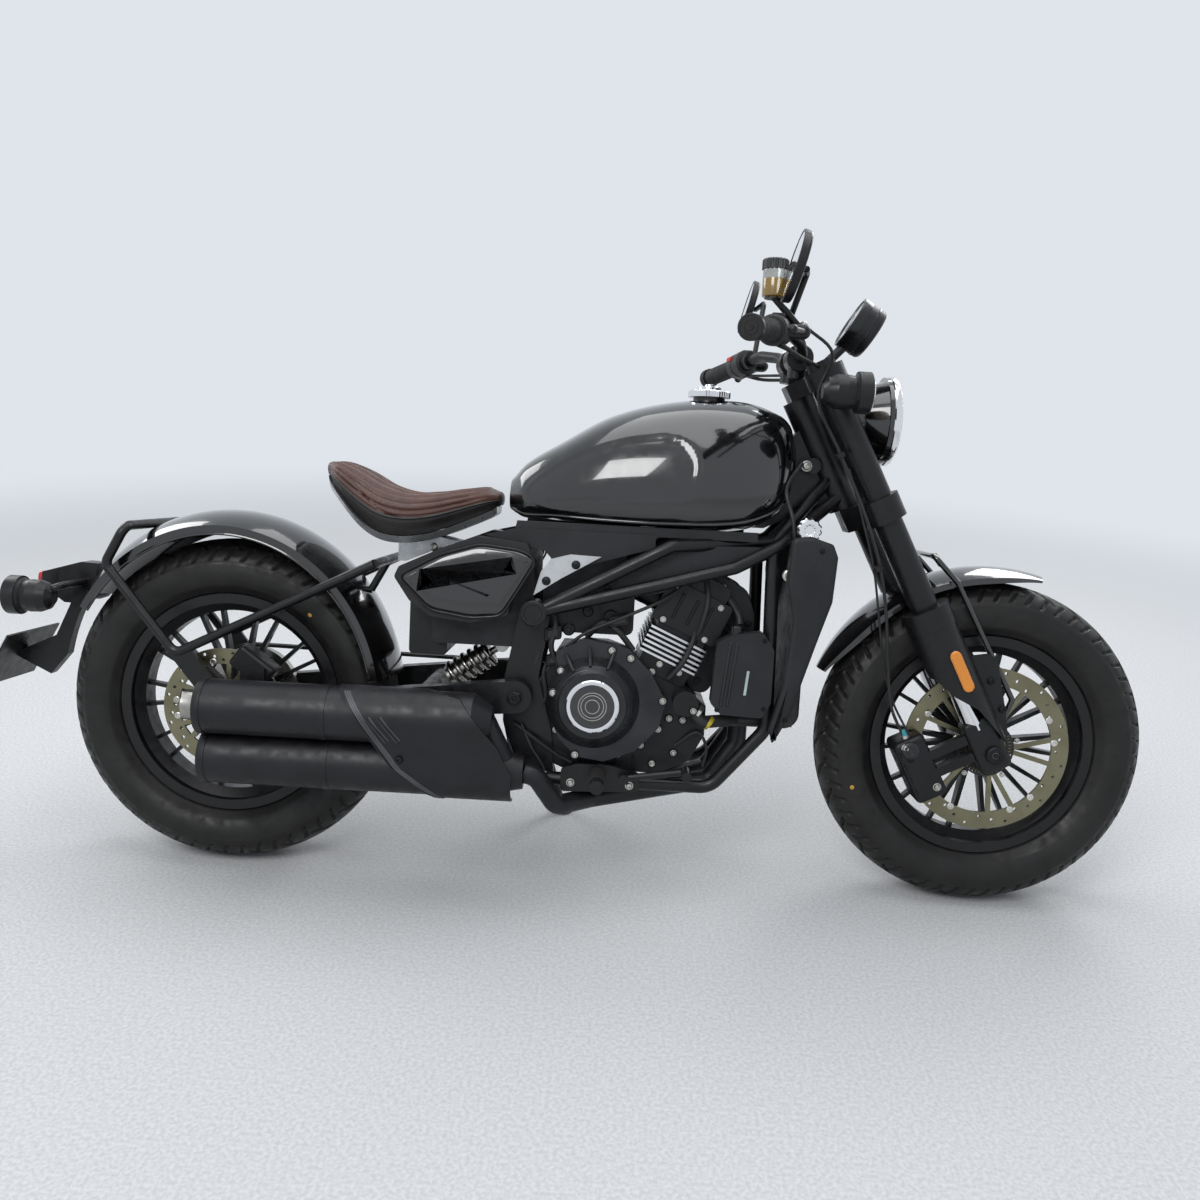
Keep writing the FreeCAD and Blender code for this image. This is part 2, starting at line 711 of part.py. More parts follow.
def rounded_loop(points, radius):
    """Closed wire with every corner rounded."""
    count = len(points)
    edges = []
    corners = []
    for index, corner in enumerate(points):
        before = points[index - 1]
        after = points[(index + 1) % count]
        corners.append(corner_arc(before, corner, after, radius))
    for index, (start, middle, end) in enumerate(corners):
        edges.append(Part.Arc(start, middle, end).toShape())
        following = corners[(index + 1) % count][0]
        if following.distanceToPoint(end) > RUN_GAP:
            edges.append(Part.LineSegment(end, following).toShape())
    return Part.Wire(edges)


def spread(shares, corner_x, corner_z, length, height):
    """Points in the side view from shares of a length and a height."""
    return [(corner_x + length * across, corner_z + height * up) for across, up in shares]


def slab(outline, side_from, side_to, corner=0.0):
    """Plate across the machine with an outline in the side view."""
    points = [V(x, side_from, z) for x, z in outline]
    if corner:
        wire = rounded_loop(points, corner)
    else:
        wire = Part.makePolygon(points + points[:1])
    return Part.Face(wire).extrude(V(0, side_to - side_from, 0))


def section_loop(centre, half_width, low, high, wide_share, top_share):
    """Smooth closed section across the machine, egg-shaped between low and high."""
    height = high - low
    right = [
        V(centre, -half_width * wide_share, low + height * EGG_FOOT_SHARE),
        V(centre, -half_width, low + height * EGG_WAIST_SHARE),
        V(centre, -half_width * top_share, high - height * EGG_CROWN_SHARE),
    ]
    left = [V(point.x, -point.y, point.z) for point in reversed(right)]
    points = [V(centre, 0, low)] + right + [V(centre, 0, high)] + left
    curve = Part.BSplineCurve()
    curve.interpolate(points, PeriodicFlag=True)
    return Part.Wire(curve.toShape())


def turned(profile, centre):
    """Solid of revolution about a cross axis, from points of radius and side distance."""
    edges = []
    here = V(centre.x + profile[0][0], profile[0][1], centre.z)
    for step in profile[1:] + profile[:1]:
        there = V(centre.x + step[0], step[1], centre.z)
        if len(step) == 4:
            through = V(centre.x + step[2], step[3], centre.z)
            edges.append(Part.Arc(here, through, there).toShape())
        else:
            edges.append(Part.LineSegment(here, there).toShape())
        here = there
    face = Part.Face(Part.Wire(edges))
    return face.revolve(centre, V(0, 1, 0), 360)


def spun(profile, centre, axis):
    """Solid of revolution about any axis, from points of radius and distance along it."""
    points = [V(radius, 0, along) for radius, along in profile]
    face = Part.Face(Part.makePolygon(points + points[:1]))
    solid = face.revolve(V(0, 0, 0), V(0, 0, 1), 360)
    solid.Placement = FreeCAD.Placement(centre, FreeCAD.Rotation(V(0, 0, 1), axis))
    return solid


def block(centre, along, size_along, size_side, size_up):
    """Box about a centre, its first side along a direction of the side view."""
    across = V(0, 1, 0)
    direction = V(along).normalize()
    box = Part.makeBox(size_along, size_side, size_up)
    box.translate(V(-size_along / 2, -size_side / 2, -size_up / 2))
    turn = FreeCAD.Rotation(direction, across, direction.cross(across), "XYZ")
    box.Placement = FreeCAD.Placement(centre, turn).multiply(box.Placement)
    return box


def tyre(centre, radius, crown, width, rim_width):
    """Hollow tyre carcass, open towards the rim."""
    half_rim = rim_width / 2
    angle = math.radians(SHOULDER_DEGREES)
    core = radius - crown
    foot = RIM_SEAT + SEAT_GAP
    side = half_rim - SEAT_GAP

    def half_outline(inset):
        reach = crown - inset
        shoulder = (core + reach * math.cos(angle), reach * math.sin(angle))
        bulge = (foot + (shoulder[0] - foot) * BULGE_SHARE, width / 2 - inset)
        return shoulder, bulge, (foot, side - inset)

    shoulder, bulge, bead = half_outline(0.0)
    inner_shoulder, inner_bulge, inner_bead = half_outline(CARCASS)
    crown_inside = radius - CARCASS
    wall = foot + RIM_FLANGE
    inner_wall = wall + CARCASS
    profile = [
        bead,
        (wall, bead[1]),
        (shoulder[0], shoulder[1], bulge[0], bulge[1]),
        (shoulder[0], -shoulder[1], radius, 0),
        (wall, -bead[1], bulge[0], -bulge[1]),
        (bead[0], -bead[1]),
        (inner_bead[0], -inner_bead[1]),
        (inner_wall, -inner_bead[1]),
        (inner_shoulder[0], -inner_shoulder[1], inner_bulge[0], -inner_bulge[1]),
        (inner_shoulder[0], inner_shoulder[1], crown_inside, 0),
        (inner_wall, inner_bead[1], inner_bulge[0], inner_bulge[1]),
        (inner_bead[0], inner_bead[1]),
    ]
    return turned(profile, centre)


def rim(centre, rim_width, hub_from, hub_to):
    """Cast wheel: rim barrel, spoke pairs and bored hub."""
    half = rim_width / 2
    lip = RIM_SEAT + RIM_FLANGE
    well = RIM_SEAT - RIM_WELL
    slope = half - RIM_SHELF
    floor = half - 2 * RIM_SHELF
    inner = well - RIM_WALL
    edge = RIM_SEAT - RIM_WALL
    barrel = turned([
        (lip, half + FLANGE_WALL),
        (lip, half),
        (RIM_SEAT, half),
        (RIM_SEAT, slope),
        (well, floor),
        (well, -floor),
        (RIM_SEAT, -slope),
        (RIM_SEAT, -half),
        (lip, -half),
        (lip, -half - FLANGE_WALL),
        (edge, -half - FLANGE_WALL),
        (edge, -slope - RIM_WALL),
        (inner, -floor - RIM_WALL),
        (inner, floor + RIM_WALL),
        (edge, slope + RIM_WALL),
        (edge, half + FLANGE_WALL),
    ], centre)
    hub = cross_bar(centre.x, centre.z, HUB_RADIUS, hub_from, hub_to)
    spokes = []
    reach = inner + RIM_WALL / 2
    start = HUB_RADIUS - RIM_WALL
    for index in range(SPOKE_PAIRS):
        for lean in (-SPOKE_SPREAD_DEGREES, SPOKE_SPREAD_DEGREES):
            spokes.append(spoke(centre, start, reach, index * 360 / SPOKE_PAIRS, lean))
    wheel = joined([barrel, hub] + spokes)
    bore = cross_bar(centre.x, centre.z, AXLE_RADIUS + RUN_GAP, hub_from - OVERRUN, hub_to + OVERRUN)
    return wheel.cut(bore)


def spoke(centre, start, reach, angle, lean):
    """Tapered spoke that leaves the hub straight and ends aside on the rim."""
    def section(radius, width, depth, turn):
        middle = V(radius, 0, 0)
        corners = [
            middle + V(0, -depth / 2, -width / 2),
            middle + V(0, depth / 2, -width / 2),
            middle + V(0, depth / 2, width / 2),
            middle + V(0, -depth / 2, width / 2),
        ]
        rotation = FreeCAD.Rotation(V(0, 1, 0), turn)
        corners = [rotation.multVec(corner) + centre for corner in corners]
        return Part.makePolygon(corners + corners[:1])

    root = section(start, SPOKE_ROOT, SPOKE_DEPTH, angle + lean * SPOKE_ROOT_SHARE)
    tip = section(reach, SPOKE_TIP, SPOKE_TIP_DEPTH, angle + lean)
    return Part.makeLoft([root, tip], True, True)


def disc_point(centre, plane, reach, degrees):
    """Point on a disc's middle plane at a reach and an angle."""
    turn = math.radians(degrees)
    return centre + V(reach * math.cos(turn), plane, reach * math.sin(turn))


def brake_disc(centre, plane, radius, band, hub_radius):
    """Drilled disc band on forked arms that leave a ring bolted to the hub."""
    low = plane - DISC_THICK / 2
    high = plane + DISC_THICK / 2
    inside = radius - band
    ring = turned([(radius, low), (radius, high), (inside, high), (inside, low)], centre)
    outside = hub_radius + CARRIER_RING
    carrier = turned([
        (outside, low),
        (outside, high),
        (hub_radius - CARRIER_RING, high),
        (hub_radius - CARRIER_RING, low),
    ], centre)
    arms = []
    for index in range(CARRIER_ARMS):
        for fork in (-CARRIER_FORK_DEGREES, CARRIER_FORK_DEGREES):
            turn = index * 360 / CARRIER_ARMS
            root = disc_point(centre, plane, hub_radius, turn)
            tip = disc_point(centre, plane, inside + CARRIER_ARM, turn + fork)
            arm = block((root + tip) / 2, tip - root, (tip - root).Length, DISC_THICK, CARRIER_ARM)
            arms.append(arm)
    holes = []
    count = DISC_HOLE_SETS * DISC_HOLE_ROWS
    for index in range(count):
        reach = inside + band * (index % DISC_HOLE_ROWS + 1) / (DISC_HOLE_ROWS + 1)
        point = disc_point(centre, plane, reach, index * 360 / count)
        holes.append(cross_bar(point.x, point.z, DISC_HOLE, low - OVERRUN, high + OVERRUN))
    return joined([ring, carrier] + arms).cut(holes)


def front_wheel():
    """Tyre, cast wheel and disc of the front wheel."""
    half_hub = -FRONT_DISC_PLANE - DISC_THICK / 2
    return {
        "front_tyre": tyre(FRONT_AXLE, FRONT_RADIUS, FRONT_CROWN, FRONT_WIDTH, FRONT_RIM_WIDTH),
        "front_rim": rim(FRONT_AXLE, FRONT_RIM_WIDTH, -half_hub, half_hub),
        "front_disc": brake_disc(FRONT_AXLE, FRONT_DISC_PLANE, FRONT_DISC_RADIUS,
                                 FRONT_DISC_BAND, HUB_RADIUS),
    }


def rear_wheel():
    """Tyre, cast wheel, disc and belt pulley of the rear wheel."""
    hub_right = REAR_DISC_PLANE + DISC_THICK / 2
    pulley_right = BELT_PLANE - BELT_WIDTH / 2
    pulley_left = BELT_PLANE + BELT_WIDTH / 2
    groove = REAR_PULLEY_RADIUS
    lip = groove + BELT_CLEARANCE / 2
    web = CARRIER_RING / 2
    pulley = turned([
        (HUB_RADIUS, pulley_right),
        (lip, pulley_right),
        (groove, pulley_right + RIM_WALL),
        (groove, pulley_left),
        (groove - CARRIER_RING, pulley_left),
        (groove - CARRIER_RING, pulley_right + web),
        (HUB_RADIUS, pulley_right + web),
    ], REAR_AXLE)
    boss = cross_bar(0, REAR_RADIUS, HUB_RADIUS, pulley_right, pulley_left)
    bore = cross_bar(0, REAR_RADIUS, AXLE_RADIUS + RUN_GAP, 0, pulley_left + OVERRUN)
    return {
        "rear_tyre": tyre(REAR_AXLE, REAR_RADIUS, REAR_CROWN, REAR_WIDTH, REAR_RIM_WIDTH),
        "rear_rim": rim(REAR_AXLE, REAR_RIM_WIDTH, hub_right, pulley_right),
        "rear_disc": brake_disc(REAR_AXLE, REAR_DISC_PLANE, REAR_DISC_RADIUS,
                                REAR_DISC_BAND, HUB_RADIUS),
        "rear_pulley": joined([pulley, boss]).cut(bore),
    }


# Swingarm, rear axle and shock
def arm_outline(grow=0.0):
    """Side view of one swingarm beam, grown for what seats on it."""
    front = SWINGARM_DEEP_FRONT / 2 + grow
    rear = SWINGARM_DEEP_REAR / 2 + grow
    return [
        (-rear, REAR_RADIUS - rear),
        (-rear, REAR_RADIUS + rear),
        (PIVOT_X, PIVOT_Z + front),
        (PIVOT_X, PIVOT_Z - front),
    ]


def swingarm():
    """Two arms joined behind the pivot, with its pivot shaft and bored axle eyes."""
    inner = SWINGARM_INNER
    outer = inner + SWINGARM_WALL
    front = SWINGARM_DEEP_FRONT / 2
    rear = SWINGARM_DEEP_REAR / 2
    pieces = []
    for side in (-1, 1):
        pieces.append(slab(arm_outline(), side * inner, side * outer))
        pieces.append(cross_bar(PIVOT_X, PIVOT_Z, front, side * inner, side * outer))
    pieces.append(cross_bar(BRACE_X, brace_height(), rear, -inner - RIM_WALL, inner + RIM_WALL))
    pieces.append(cross_bar(PIVOT_X, PIVOT_Z, PIVOT_SHAFT, -inner - RIM_WALL, inner + RIM_WALL))
    pieces.append(cross_bar(PIVOT_X, PIVOT_Z, rear, -PIVOT_TUBE, PIVOT_TUBE))
    axle = cross_bar(0, REAR_RADIUS, AXLE_RADIUS + RUN_GAP, -outer - OVERRUN, outer + OVERRUN)
    frame = joined(pieces).cut(axle)
    for side in (-1, 1):
        frame = frame.cut(cross_bar(SPOOL_X, SPOOL_Z, SPOOL_HOLE, side * (outer - SPOOL_DEEP), side * outer))
    return frame


def brace_height():
    """Height of the swingarm's cross brace on the arms' centre line."""
    return REAR_RADIUS + (PIVOT_Z - REAR_RADIUS) * BRACE_X / PIVOT_X


def rear_axle():
    """Rear axle with spacers to the hub and nuts outside the arms."""
    outer = SWINGARM_INNER + SWINGARM_WALL
    pieces = [cross_bar(0, REAR_RADIUS, AXLE_RADIUS, -outer, outer)]
    hub_right = REAR_DISC_PLANE + DISC_THICK / 2 - SEAT_GAP
    hub_left = BELT_PLANE + BELT_WIDTH / 2 + SEAT_GAP
    pieces.append(cross_bar(0, REAR_RADIUS, SPACER_RADIUS, hub_right, -SWINGARM_INNER))
    pieces.append(cross_bar(0, REAR_RADIUS, SPACER_RADIUS, hub_left, SWINGARM_INNER))
    for side in (-1, 1):
        pieces.append(cross_bar(0, REAR_RADIUS, NUT_RADIUS, side * outer, side * (outer + NUT_THICK)))
    return joined(pieces)


def rear_shock():
    """Single shock laid between the swingarm's brace and the battery box."""
    reach = SWINGARM_DEEP_REAR / 2 + SEAT_GAP
    top = V(SHOCK_TOP_X, 0, BOX_LOW - SEAT_GAP)
    foot = V(BRACE_X, 0, brace_height())
    line = (top - foot).normalize()
    start = foot + line * (reach + SHOCK_EYE)
    end = top - V(0, 0, SHOCK_EYE)
    line = (end - start).normalize()
    length = (end - start).Length
    pieces = [rod(start, end, SHOCK_ROD)]
    for index in range(SHOCK_COILS):
        middle = start + line * (length * (index + 1) / (SHOCK_COILS + 2))
        pieces.append(Part.makeTorus(SHOCK_COIL_RADIUS, SHOCK_WIRE, middle, line))
    pieces.append(rod(start + line * SHOCK_WIRE, end - line * 2 * SHOCK_EYE,
                      SHOCK_COIL_RADIUS - SHOCK_WIRE / 2))
    pieces.append(cross_bar(start.x, start.z, SHOCK_EYE, -SHOCK_EYE, SHOCK_EYE))
    pieces.append(cross_bar(end.x, end.z, SHOCK_EYE, -SHOCK_EYE, SHOCK_EYE))
    return joined(pieces)


def rear_caliper():
    """Rear caliper over the disc, on the swingarm's inner face."""
    turn = math.radians(REAR_CALIPER_DEGREES)
    reach = REAR_DISC_RADIUS - REAR_CALIPER_INSET
    centre = disc_point(REAR_AXLE, REAR_DISC_PLANE, reach, REAR_CALIPER_DEGREES)
    along = V(math.sin(turn), 0, -math.cos(turn))
    body = caliper(centre, along, REAR_CALIPER_LONG, REAR_CALIPER_TALL,
                   -SWINGARM_INNER + SEAT_GAP - REAR_DISC_PLANE, REAR_AXLE, REAR_DISC_RADIUS)
    outline = [(REAR_LUG_X, REAR_RADIUS + OVERRUN), (REAR_LUG_X + REAR_LUG_LONG, REAR_RADIUS + OVERRUN),
               (REAR_LUG_X + REAR_LUG_LONG, centre.z), (REAR_LUG_X, centre.z)]
    lug = slab(outline, REAR_LUG_OUTWARD - SWINGARM_INNER, -SWINGARM_INNER - REAR_LUG_OUTWARD)
    return joined([body, lug.cut(slab(arm_outline(SEAT_GAP), -REAR_RADIUS, 0))])


def caliper(centre, along, length, tall, outward, axle, disc_radius):
    """Rounded caliper body with a slot that clears its disc."""
    body = block(centre + V(0, (CALIPER_INWARD + outward) / 2, 0), along, length,
                 CALIPER_INWARD - outward, tall)
    body = body.makeFillet(tall * CALIPER_ROUND_SHARE, body.Edges)
    low = centre.y - DISC_THICK / 2 - DISC_CLEARANCE
    high = centre.y + DISC_THICK / 2 + DISC_CLEARANCE
    slot = cross_bar(axle.x, axle.z, disc_radius + DISC_CLEARANCE, low, high)
    return body.cut(slot)


# Frame
def head_drum(grow=0.0):
    """Outer drum of the steering head, grown for what butts against it."""
    return rod(on_stem(LOWER_YOKE_LOW), on_stem(UPPER_YOKE_LOW), HEAD_TUBE_RADIUS + grow)


def spine_outline(grow=0.0):
    """Side view of the spine that runs from the head through the tank's tunnel."""
    top = on_stem(HEAD_HIGH, -HEAD_TUBE_RADIUS / 2)
    foot = on_stem(HEAD_LOW, -HEAD_TUBE_RADIUS / 2)
    throat_x = top.x - GUSSET_DEEP
    rise = (top.z - SPINE_TAIL_Z) / 2
    return [
        (top.x, top.z),
        (throat_x, SPINE_TAIL_Z + rise + grow),
        (SPINE_TAIL_X - grow, SPINE_TAIL_Z + grow),
        (SPINE_TAIL_X - grow, SPINE_TAIL_Z - SPINE_DEEP),
        (throat_x, SPINE_TAIL_Z - SPINE_DEEP),
        (foot.x, foot.z),
    ]


def steering_head():
    """Head tube with its bored bearing seats and the spine under the tank."""
    low = on_stem(LOWER_YOKE_LOW + LOWER_YOKE_TALL + SEAT_GAP)
    high = on_stem(UPPER_YOKE_LOW - SEAT_GAP)
    drum = rod(low, high, HEAD_TUBE_RADIUS)
    bore = rod(on_stem(LOWER_YOKE_LOW), on_stem(FORK_TUBE_TOP), STEM_RADIUS + RUN_GAP)
    spine = slab(spine_outline(), -SPINE_HALF_WIDTH, SPINE_HALF_WIDTH)
    boss = on_stem(HEAD_BOSS_UP, -HEAD_TUBE_RADIUS)
    eye = cross_bar(boss.x, boss.z, HEAD_BOSS_RADIUS, -HEAD_BOSS_REACH, HEAD_BOSS_REACH)
    return joined([drum, spine, eye]).cut(bore)


def trellis_tubes(side, grow=0.0):
    """Upper and lower tubes of one side."""
    cap = V(NODE_CAP_X, side * TRELLIS_PLANE, NODE_CAP_Z)
    upper = [
        cap,
        V(TRELLIS_KNEE_X, side * TRELLIS_PLANE, TRELLIS_KNEE_Z),
        V(TRELLIS_RUN_X, side * TRELLIS_RUN_PLANE, TRELLIS_RUN_Z),
        on_stem(UPPER_TUBE_UP, 0.0, side * STEM_RADIUS),
    ]
    lower = [
        cap,
        V(TRELLIS_LOWER_X, side * TRELLIS_PLANE, TRELLIS_LOWER_Z),
        V(TRELLIS_RISE_X, side * CRADLE_PLANE, TRELLIS_RISE_Z),
        on_stem(HEAD_LOW, 0.0, side * STEM_RADIUS),
    ]
    radius = TRELLIS_RADIUS + grow
    return [bent_tube(upper, radius, TRELLIS_BEND), bent_tube(lower, radius, TRELLIS_BEND)]


def trellis(side):
    """One side's trellis: two tubes between the node cap and the steering head."""
    face = ENGINE_HALF_WIDTH + PIVOT_PLATE_WALL + 2 * SEAT_GAP
    drum = cross_bar(NODE_CAP_X, NODE_CAP_Z, NODE_CAP_RADIUS, side * face,
                     side * (TRELLIS_PLANE + TRELLIS_RADIUS))
    frame = joined(trellis_tubes(side) + [drum])
    spine = slab(spine_outline(SEAT_GAP), -SPINE_HALF_WIDTH - SEAT_GAP, SPINE_HALF_WIDTH + SEAT_GAP)
    return frame.cut(head_drum(SEAT_GAP)).cut(spine)


def cradle(side):
    """Down tube, lower rail and pivot plate of one side."""
    plane = side * CRADLE_PLANE
    points = [
        V(CRADLE_TOP_X, plane, TRELLIS_RISE_Z),
        V(CRADLE_FRONT_X, plane, CRADLE_KNEE_Z),
        V(CRADLE_TOE_X, plane, CRADLE_LOW_Z),
        V(CRADLE_REAR_X, plane, CRADLE_LOW_Z),
    ]
    face = ENGINE_HALF_WIDTH + SEAT_GAP
    outline = spread(PIVOT_PLATE_SHARES, PIVOT_PLATE_X, PIVOT_PLATE_LOW, PIVOT_PLATE_LONG,
                     PIVOT_PLATE_TALL)
    plate = slab(outline, side * face, side * (face + PIVOT_PLATE_WALL), CRADLE_RADIUS)
    frame = joined([bent_tube(points, CRADLE_RADIUS, CRADLE_BEND), plate])
    for tube in trellis_tubes(side, SEAT_GAP):
        frame = frame.cut(tube)
    hole = cross_bar(PIVOT_X, PIVOT_Z, PIVOT_SHAFT + RUN_GAP, -REAR_RADIUS, REAR_RADIUS)
    frame = frame.cut(hole)
    return max(frame.Solids, key=lambda solid: solid.Volume)


# Side stand
def stand_pivot():
    return V(STAND_X, STAND_PLANE, STAND_Z)


def stand_axis():
    tilt = math.radians(STAND_AXIS_DEGREES)
    return V(0, math.cos(tilt), math.sin(tilt))


def stand_lug():
    """Lug and pin on the left rail that carry the side stand."""
    axis = stand_axis()
    face = stand_pivot() - axis * (STAND_HALF_EYE + SEAT_GAP)
    lug = rod(face - axis * STAND_LUG_REACH, face, STAND_EYE)
    pin = rod(face, stand_pivot() + axis * (STAND_HALF_EYE + SEAT_GAP), STAND_PIN)
    start = stand_pivot() + axis * (STAND_HALF_EYE + SEAT_GAP)
    head = rod(start, start + axis * STAND_HEAD_THICK, 2 * STAND_PIN)
    return joined([lug, pin, head])


def cradle_left():
    """Left cradle with the side stand's lug."""
    side_face = ENGINE_HALF_WIDTH + SEAT_GAP
    inside = Part.makeBox(STAND_X, side_face, STAND_X, V(STAND_X / 2, 0, 0))
    return joined([cradle(1), stand_lug().cut(inside)])


def side_stand():
    """Stand leg with its bored eye and a foot flat on the floor."""
    pivot = stand_pivot()
    axis = stand_axis()
    tilt = math.radians(STAND_AXIS_DEGREES)
    ahead = math.radians(STAND_FORWARD_DEGREES)
    down = V(math.sin(ahead), math.sin(tilt) * math.cos(ahead), -math.cos(tilt) * math.cos(ahead))
    floor_up = V(0, -math.sin(LEAN), math.cos(LEAN))
    drop = (pivot.z - floor_height(pivot.y)) * math.cos(LEAN)
    length = drop / -down.dot(floor_up)
    foot = pivot + down * length
    eye = rod(pivot - axis * STAND_HALF_EYE, pivot + axis * STAND_HALF_EYE, STAND_EYE)
    leg = rod(pivot, foot - down * STAND_LEG, STAND_LEG)
    pad = rod(foot, foot + floor_up * STAND_FOOT_THICK, STAND_FOOT)
    hole = rod(pivot - axis * STAND_EYE, pivot + axis * STAND_EYE, STAND_PIN + RUN_GAP)
    return joined([eye, leg, pad]).cut(hole)


# Engine
def tilt_point(up, ahead=0.0, side=0.0):
    """Point in the tilted cylinders' frame, from the middle of their deck."""
    angle = math.radians(CYLINDER_TILT_DEGREES)
    across = V(math.cos(angle), 0, -math.sin(angle))
    along = V(math.sin(angle), 0, math.cos(angle))
    return V(CYLINDER_X, side, CYLINDER_Z) + along * up + across * ahead


def tilted_block(low, high, half_depth, half_width, corner):
    """Rounded block between two heights of the tilted cylinders' frame."""
    outline = []
    for up, ahead in ((low, -half_depth), (low, half_depth), (high, half_depth), (high, -half_depth)):
        point = tilt_point(up, ahead)
        outline.append((point.x, point.z))
    return slab(outline, -half_width, half_width, corner)


def crankcase():
    """Crankcase with its tilted deck, left cover and room for the belt's front pulley."""
    outline = spread(CRANKCASE_SHARES, CRANKCASE_REAR, CRANKCASE_LOW, CRANKCASE_LENGTH, CRANKCASE_TALL)
    for ahead in (DECK_HALF, -DECK_HALF):
        deck = tilt_point(0.0, ahead)
        outline.append((deck.x, deck.z))
    outline += spread(CRANKCASE_BACK_SHARES, CRANKCASE_REAR, CRANKCASE_LOW, CRANKCASE_LENGTH,
                      CRANKCASE_TALL)
    case = slab(outline, -ENGINE_HALF_WIDTH, ENGINE_HALF_WIDTH)
    cover = cross_bar(GENERATOR_X, GENERATOR_Z, GENERATOR_RADIUS, 0, ENGINE_HALF_WIDTH + GENERATOR_DEEP)
    cover = cover.makeFillet(CASE_CORNER, [cover.Edges[0]])
    pocket_face = BELT_PLANE - BELT_WIDTH / 2 - RIM_WALL
    pocket = Part.makeBox(PULLEY_POCKET + OVERRUN, ENGINE_HALF_WIDTH, CRANKCASE_TALL + 2 * OVERRUN,
                          V(CRANKCASE_REAR - OVERRUN, pocket_face, CRANKCASE_LOW - OVERRUN))
    shaft = cross_bar(FRONT_PULLEY_X, FRONT_PULLEY_Z, SPACER_RADIUS, 0, BELT_PLANE + BELT_WIDTH / 2)
    pulley = cross_bar(FRONT_PULLEY_X, FRONT_PULLEY_Z, FRONT_PULLEY_RADIUS, pocket_face,
                       BELT_PLANE + BELT_WIDTH / 2)
    return joined([case.cut(pocket), cover, shaft, pulley, pump_drum()])


def pump_drum(grow=0.0):
    """Water pump housing on the right of the crankcase, grown for what seats on it."""
    return cross_bar(PUMP_X, PUMP_Z, PUMP_RADIUS + grow, -ENGINE_HALF_WIDTH - PUMP_DEEP - grow,
                     CARCASS - ENGINE_HALF_WIDTH)


def coolant_hose():
    """Hose from the water pump, inside the down tube, to the foot of the radiator."""
    outer = -ENGINE_HALF_WIDTH - PUMP_DEEP + HOSE_RADIUS + HOSE_CLEARANCE
    inner = -CRADLE_PLANE + CRADLE_RADIUS + HOSE_RADIUS + HOSE_CLEARANCE
    low = PUMP_Z - HOSE_DIP
    points = [
        V(PUMP_X, outer, PUMP_Z),
        V(PUMP_X + HOSE_STEP, outer, low),
        V(PUMP_X + HOSE_RUN, inner, low),
        V(RADIATOR_X, inner, low),
        V(RADIATOR_X, inner, RADIATOR_Z),
    ]
    hose = bent_tube(points, HOSE_RADIUS, HOSE_BEND)
    hose = hose.cut(pump_drum(SEAT_GAP)).cut(radiator(SEAT_GAP))
    return max(hose.Solids, key=lambda solid: solid.Volume)


def intake():
    """Air box behind the cylinders with its two throttle bodies."""
    outline = spread(AIRBOX_SHARES, AIRBOX_REAR, AIRBOX_LOW, AIRBOX_LONG, AIRBOX_TALL)
    pieces = [slab(outline, -AIRBOX_HALF_WIDTH, AIRBOX_HALF_WIDTH, CASE_CORNER)]
    for side in (-1, 1):
        mouth = tilt_point(THROTTLE_UP, -HEAD_HALF_DEEP - SEAT_GAP, side * HEADER_PLANE)
        back = tilt_point(THROTTLE_UP, -HEAD_HALF_DEEP - THROTTLE_LONG, side * HEADER_PLANE)
        pieces.append(rod(back, mouth, THROTTLE_RADIUS))
    return joined(pieces)


def drive_belt():
    """Belt loop round both pulleys."""
    low = BELT_PLANE - BELT_WIDTH / 2
    high = BELT_PLANE + BELT_WIDTH / 2

    def loop(grow, low, high):
        rear = REAR_PULLEY_RADIUS + BELT_CLEARANCE + grow
        front = FRONT_PULLEY_RADIUS + SEAT_GAP + grow
        span = math.hypot(FRONT_PULLEY_X, FRONT_PULLEY_Z - REAR_RADIUS)
        slope = math.atan2(FRONT_PULLEY_Z - REAR_RADIUS, FRONT_PULLEY_X)
        wrap = math.acos((rear - front) / span)
        points = []
        for side in (1, -1):
            turn = slope + side * wrap
            ray = (math.cos(turn), math.sin(turn))
            points.append((rear * ray[0], REAR_RADIUS + rear * ray[1]))
            points.append((FRONT_PULLEY_X + front * ray[0], FRONT_PULLEY_Z + front * ray[1]))
        outline = [points[0], points[1], points[3], points[2]]
        return joined([
            slab(outline, low, high),
            cross_bar(0, REAR_RADIUS, rear, low, high),
            cross_bar(FRONT_PULLEY_X, FRONT_PULLEY_Z, front, low, high),
        ])

    return loop(BELT_THICK, low, high).cut(loop(0.0, low - OVERRUN, high + OVERRUN))


def cylinder_block():
    """Finned barrels with the cylinder head and its cam cover."""
    barrel = tilted_block(SEAT_GAP, BARREL_TALL, BARREL_HALF_DEEP, CYLINDER_HALF_WIDTH - FIN_REACH,
                          FIN_REACH)
    pieces = [barrel]
    for index in range(FIN_COUNT):
        low = FIN_LOW + index * FIN_PITCH
        pieces.append(tilted_block(low, low + FIN_THICK, BARREL_HALF_DEEP + FIN_REACH,
                                   CYLINDER_HALF_WIDTH, 0.0))
    top = BARREL_TALL + HEAD_TALL
    pieces.append(tilted_block(BARREL_TALL, top, HEAD_HALF_DEEP, CYLINDER_HALF_WIDTH, FIN_REACH))
    pieces.append(tilted_block(top - CASE_CORNER, top + CAM_COVER_TALL, CAM_COVER_HALF_DEEP,
                               CYLINDER_HALF_WIDTH - FIN_REACH, CASE_CORNER))
    return joined(pieces)


